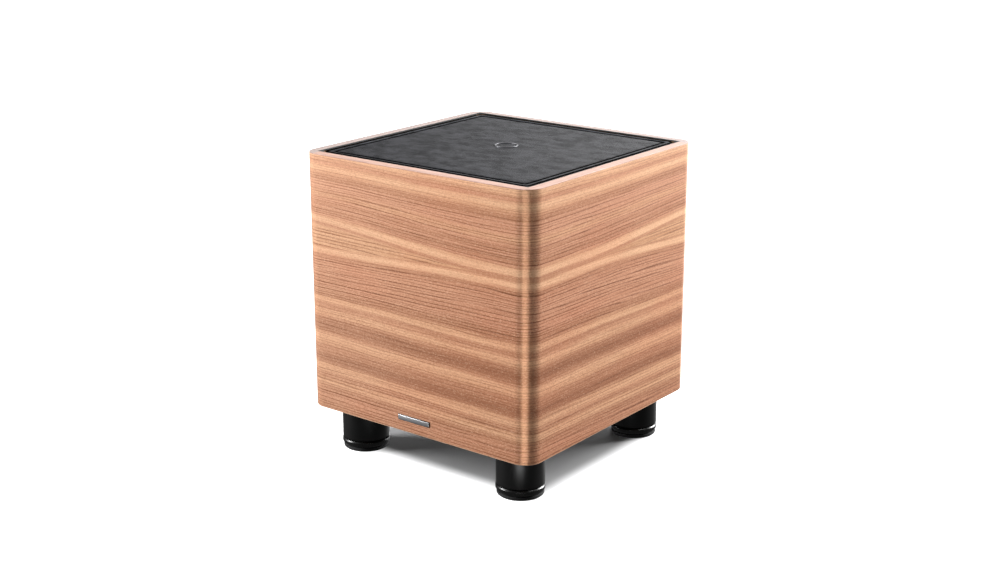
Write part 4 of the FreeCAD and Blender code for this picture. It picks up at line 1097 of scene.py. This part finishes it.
bm = bmesh.new()
turned(bm, half_roll(), (0, 0, 0), "z", seg, 2, closed=True)
roll = piece("surround_roll", bm, [rubber_roll], "cabinet", 50.0, ("woofer_surround",))
radial_blend(roll, 88.0, 108.0)
low = [(25.6, 102.2)]
for i in range(65):
    r = 27.5 + (63.0 - 27.5) * i / 64
    low.append((r, 102.6 + 1.1 * math.sin((r - 27.5) / 4.0 * math.pi)))
low += [(64.5, 103.2), (71.0, 103.2)]
bm = bmesh.new()
turned(bm, [(r, z, 0) for r, z in low] + [(r, z + 0.7, 0) for r, z in reversed(low)], (0, 0, 0), "z", 96, 2, closed=True)
spider = piece("spider_disc", bm, [cloth], "cabinet", 50.0, ("woofer_spider",))
radial_blend(spider, 27.5, 63.0)

bm = bmesh.new()
for k2 in range(8):
    t = math.radians(22.5 + 45 * k2)
    cross_screw(bm, (123 * math.cos(t), 123 * math.sin(t), 57.0), "-z", 4.2, 1.2, 2.5, 2.5, 1.5, (2.4, 18.0))
piece("driver_screws", bm, [screw_black], smooth=40.0, replaces=("woofer_screws",))

# ------------------------------------------------------------------ rear panel details
bm = bmesh.new()
amp_xz = [(sx * x, z) for z in (149.5, 360.5) for x in (111.5, 37.2) for sx in (-1, 1)] + [(sx * 111.5, z) for z in (220.0, 290.0) for sx in (-1, 1)]
for x, z in amp_xz:
    cross_screw(bm, (x, 173.5, z), "y", 3.5, 1.1, 1.5, 2.2, 1.0, (1.75, 9.0))
piece("panel_screws", bm, [screw_black], smooth=40.0, replaces=("amp_screws",))

FACE = 163.0
for tag, body, x0, z0 in (("volume", "volume", -72.0, 312.0), ("crossover", "crossover", -30.0, 312.0)):
    bm = bmesh.new()

    def flute(t, r, h):
        return -0.28 * (0.5 - 0.5 * math.cos(28 * t)) if r > 7.6 and h > 0.4 else 0.0

    turned(bm, [(0, -15.0), (2.6, -15.0, 0), (3.0, -14.6, 0), (3.0, 0, 0), (9.5, 0, 0), (9.5, 0.9, 0.3), (9.1, 1.3, 0.2), (8.9, 8.0, 0), (8.7, 9.0, 0.5), (7.9, 9.5, 0.3), (7.2, 9.25, 0.2), (0, 9.25)],
           (x0, 167.0, z0), "y", 168, 4, wave=flute)
    block(bm, (x0 - 0.55, 176.1, z0 + 2.2), (x0 + 0.55, 176.42, z0 + 7.9), 0.12, 2, 1)
    piece(tag + "_dial", bm, [knob_black, print_white], body, 40.0, (tag + "_knob",))

# printed scale round each dial: eleven ticks, with plain numbers at the ends and the middle
bm = bmesh.new()
for x0, z0 in ((-72.0, 312.0), (-30.0, 312.0)):
    for i in range(11):
        a = math.radians(-150 + 30 * i)
        ln = 2.6 if i in (0, 5, 10) else 1.7
        r0, r1, w = 11.4, 11.4 + ln, 0.22

        def tick(b, a=a, r0=r0, r1=r1, w=w, x0=x0, z0=z0):
            bmesh.ops.create_cube(b, size=1.0)
            for v in b.verts:
                u = (r0 + r1) / 2 + v.co.z * (r1 - r0)
                s2 = v.co.x * 2 * w
                x = x0 - u * math.sin(a) + s2 * math.cos(a)
                z = z0 + u * math.cos(a) + s2 * math.sin(a)
                v.co = Vector((x * MM, (FACE + 0.03 + v.co.y * 0.06) * MM, z * MM))
        join_into(bm, tick)
for x0, x1, z0, z1 in ((-62.0, -60.2, 267.4, 268.6), (-50.2, -47.4, 267.4, 268.6)):
    block(bm, (x0, FACE, z0), (x1, FACE + 0.06, z1), 0.0)
piece("panel_marks", bm, [print_white], smooth=0)


def number(name, text, x, z, size=3.4):
    c = bpy.data.curves.new(name, "FONT")
    c.body = text
    c.size = size * MM
    c.extrude = 0.03 * MM
    c.align_x, c.align_y = "CENTER", "CENTER"
    o = bpy.data.objects.new(name, c)
    scene.collection.objects.link(o)
    o.location = (x * MM, (FACE + 0.03) * MM, z * MM)
    o.rotation_euler = (math.radians(90), 0, math.radians(180))
    bpy.context.view_layer.update()
    me = bpy.data.meshes.new_from_object(o.evaluated_get(bpy.context.evaluated_depsgraph_get()))
    me.transform(o.matrix_world)
    bpy.data.objects.remove(o)
    me.materials.clear()
    return wrap(name, me, print_white, "cabinet", 0, ())


for tag, x0, texts in (("volume", -72.0, ("0", "5", "10")), ("crossover", -30.0, ("50", "85", "120"))):
    for a, t in zip((-150, 0, 150), texts):
        ra_ = 16.6 if a else 16.4
        number("%s_number_%s" % (tag, t), t, x0 - ra_ * math.sin(math.radians(a)), 312.0 + ra_ * math.cos(math.radians(a)))

bm = bmesh.new()
for x0, z0 in ((-84.0, 186.0), (-62.0, 186.0), (-84.0, 216.0)):
    turned(bm, [(1.6, 0, 0), (5.0, 0, 0.2), (5.0, 12.5, 0), (6.4, 12.5, 0.2), (6.4, 14.3, 0.3), (4.15, 14.3, 0.1), (4.15, 21.4, 0.2), (3.75, 22.0, 0.2), (3.1, 22.0, 0.1), (3.1, 21.2, 0), (1.6, 21.2, 0)],
           (x0, 150.5, z0), "y", 64, 3, closed=True)
piece("jack_barrels", bm, [finish["jack_plating"]], replaces=("phono_jacks",))
white_plastic = moulded("jack_white", (214, 212, 206), 0.4, 1200.0, 0.06)
red_plastic = moulded("jack_red", (158, 24, 22), 0.4, 1200.0, 0.06)
for tag, x0, z0, mat in (("left", -84.0, 186.0, white_plastic), ("right", -62.0, 186.0, red_plastic), ("effects", -84.0, 216.0, finish["black_plastic"])):
    bm = bmesh.new()
    turned(bm, [(1.75, 171.75, 0), (3.05, 171.75, 0), (3.05, 172.25, 0.15), (1.75, 172.25, 0.1)], (x0, 0, z0), "y", 48, 3, closed=True)
    piece("jack_insulator_" + tag, bm, [mat])

bm = bmesh.new()
turned(bm, [(0, 0), (2.2, 0, 0), (2.2, 1.2, 0), (1.5, 1.2, 0), (1.5, 4.9, 0.5), (1.15, 5.8, 0.5), (0, 6.2)], (70.0, 159.3, 240.0), "y", 40, 5)
piece("status_lens", bm, [finish["led_lens"]], replaces=("status_led",))
bm = bmesh.new()
turned(bm, [(1.75, 163.0, 0), (3.1, 163.0, 0), (3.1, 163.45, 0.25), (1.75, 163.6, 0.15)], (70.0, 0, 240.0), "y", 48, 4, closed=True)
piece("status_bezel", bm, [finish["black_plastic"]])

# ------------------------------------------------------------------ wadding inside
def pad(name, lo, hi):
    bm = bmesh.new()
    bmesh.ops.create_cube(bm, size=1.0)
    bmesh.ops.subdivide_edges(bm, edges=list(bm.edges), cuts=15, use_grid_fill=True)
    size = [hi[i] - lo[i] for i in range(3)]
    thin = size.index(min(size))
    for v in bm.verts:
        c = [2 * v.co[i] for i in range(3)]
        others = [i for i in range(3) if i != thin]
        u, w = c[others[0]], c[others[1]]
        crown = (1 - abs(u) ** 5) * (1 - abs(w) ** 5)
        lumps = 0.05 * math.sin(7.1 * u + 2.3 * w) * math.sin(5.7 * w - 1.1 * u)
        half = 0.42 + 0.58 * crown ** 0.5 * (0.90 + lumps)
        c[thin] *= min(1.0, half)
        waist_u = 1 - 0.035 * (1 - w * w)
        waist_w = 1 - 0.035 * (1 - u * u)
        c[others[0]] *= waist_u
        c[others[1]] *= waist_w
        v.co = Vector([((lo[i] + hi[i]) / 2 + c[i] * size[i] / 2 * 0.992) * MM for i in range(3)])
    o = new_object(name, bm, finish["wadding"], "cabinet", 60.0, ("wadding_pads",), "wadding")
    sub = o.modifiers.new("soft", "SUBSURF")
    sub.levels = sub.render_levels = 1


pad("wadding_front", (-112, -158.2, 226), (112, -130.2, 350))
pad("wadding_left", (-158.2, -104, 226), (-130.2, 80, 350))
pad("wadding_right", (130.2, -104, 226), (158.2, 80, 350))

# ------------------------------------------------------------------ stage and light
bm = bmesh.new()
bmesh.ops.create_grid(bm, x_segments=1, y_segments=1, size=14.0)
me = bpy.data.meshes.new("floor")
bm.to_mesh(me)
bm.free()
floor = bpy.data.objects.new("floor", me)
scene.collection.objects.link(floor)
fm = Mat("floor_painted_shadow")
fx, fy, _ = fm.split(fm.co())
# painted shadow: the floor is grey and glows white only away from the cabinet's footprint, so the shadow round it is
# painted; the footprint is set off so the front side is lighter and the right side darker
away = fm.math("MAXIMUM", fm.sub(fm.math("ABSOLUTE", fx), 0.188), fm.sub(fm.math("ABSOLUTE", fy), 0.169))
painted_shadow_glow = fm.step(away, -0.057, -0.018, 0.0, 1.25)
fm.set(Base_Color=lin((168, 168, 169)), Roughness=0.7, Specular_IOR_Level=0.1, Emission_Color=(1, 1, 1, 1), Emission_Strength=painted_shadow_glow)
me.materials.append(fm.m)
floor.visible_diffuse = False
floor.visible_glossy = False

# a pale card lying in front of the corner: only its reflection is seen
bm = bmesh.new()
span = [math.radians(14 + 36 * i / 12) for i in range(13)]
near = [bm.verts.new((0.150 + 0.10 * math.sin(t), -0.150 - 0.10 * math.cos(t), 0.001)) for t in span]
far = [bm.verts.new((0.150 + 2.4 * math.sin(t), -0.150 - 2.4 * math.cos(t), 0.001)) for t in span]
for i in range(12):
    bm.faces.new((near[i], far[i], far[i + 1], near[i + 1]))
me = bpy.data.meshes.new("corner_card")
bm.to_mesh(me)
bm.free()
card = bpy.data.objects.new("corner_card", me)
scene.collection.objects.link(card)
cm = Mat("card_glow")
cm.set(Base_Color=(0, 0, 0, 1), Emission_Color=(1, 1, 1, 1), Emission_Strength=9.0)
me.materials.append(cm.m)
card.visible_camera = False
card.visible_diffuse = False
card.visible_shadow = False
card.visible_transmission = False

world = bpy.data.worlds.new("studio")
scene.world = world
world.use_nodes = True
bg = world.node_tree.nodes["Background"]
bg.inputs[0].default_value = (1, 1, 1, 1)
bg.inputs[1].default_value = 0.25
out = world.node_tree.nodes["World Output"]
# the backdrop behind the object is lit, and the rest of the room is dim
wt = world.node_tree
look = wt.nodes.new("ShaderNodeTexCoord")
dot = wt.nodes.new("ShaderNodeVectorMath")
dot.operation = "DOT_PRODUCT"
wt.links.new(look.outputs["Generated"], dot.inputs[0])
back_az = math.radians(184)
dot.inputs[1].default_value = (math.sin(back_az) * 0.97, -math.cos(back_az) * 0.97, 0.24)
glow = wt.nodes.new("ShaderNodeMapRange")
glow.interpolation_type = "SMOOTHSTEP"
wt.links.new(dot.outputs["Value"], glow.inputs[0])
for i, v in enumerate((0.74, 0.97, 0.12, 3.0)):
    glow.inputs[i + 1].default_value = v
paths = wt.nodes.new("ShaderNodeLightPath")
soft = wt.nodes.new("ShaderNodeMix")
wt.links.new(paths.outputs["Is Diffuse Ray"], soft.inputs[0])
wt.links.new(glow.outputs[0], soft.inputs[2])
soft.inputs[3].default_value = 0.27
wt.links.new(soft.outputs[0], bg.inputs[1])
white = world.node_tree.nodes.new("ShaderNodeBackground")
white.inputs[1].default_value = 1.6
path = world.node_tree.nodes.new("ShaderNodeLightPath")
pick = world.node_tree.nodes.new("ShaderNodeMixShader")
world.node_tree.links.new(path.outputs["Is Camera Ray"], pick.inputs[0])
world.node_tree.links.new(bg.outputs[0], pick.inputs[1])
world.node_tree.links.new(white.outputs[0], pick.inputs[2])
world.node_tree.links.new(pick.outputs[0], out.inputs[0])


def area(name, azimuth, elevation, distance, width, height, power, aim=(0, 0, 0.22)):
    """A soft light; azimuth 0 is in front of the badge, and 90 on the right."""
    a, e = math.radians(azimuth), math.radians(elevation)
    d = bpy.data.lights.new(name, "AREA")
    d.shape = "RECTANGLE"
    d.size, d.size_y = width, height
    d.energy = power
    o = bpy.data.objects.new(name, d)
    away = Vector((math.sin(a) * math.cos(e), -math.cos(a) * math.cos(e), math.sin(e)))
    o.location = Vector(aim) + away * distance
    o.rotation_euler = (-away).to_track_quat("-Z", "Y").to_euler()
    o.visible_camera = False
    scene.collection.objects.link(o)
    return o


area("key_left", -52, 17, 3.4, 1.33, 2.2, 250)
area("key_right", 152, 17, 4.5, 1.75, 2.8, 500)
rim_light = area("key_rear_left", -150, 24, 2.6, 0.9, 1.4, 18)
rim_light.visible_glossy = False
area("overhead", 180, 84, 2.8, 2.6, 2.6, 26)
area("top_right", 100, 55, 1.15, 0.5, 0.5, 7.6, (0.10, 0.10, 0.39))
scene.view_settings.view_transform = "Standard"
scene.view_settings.look = "None"
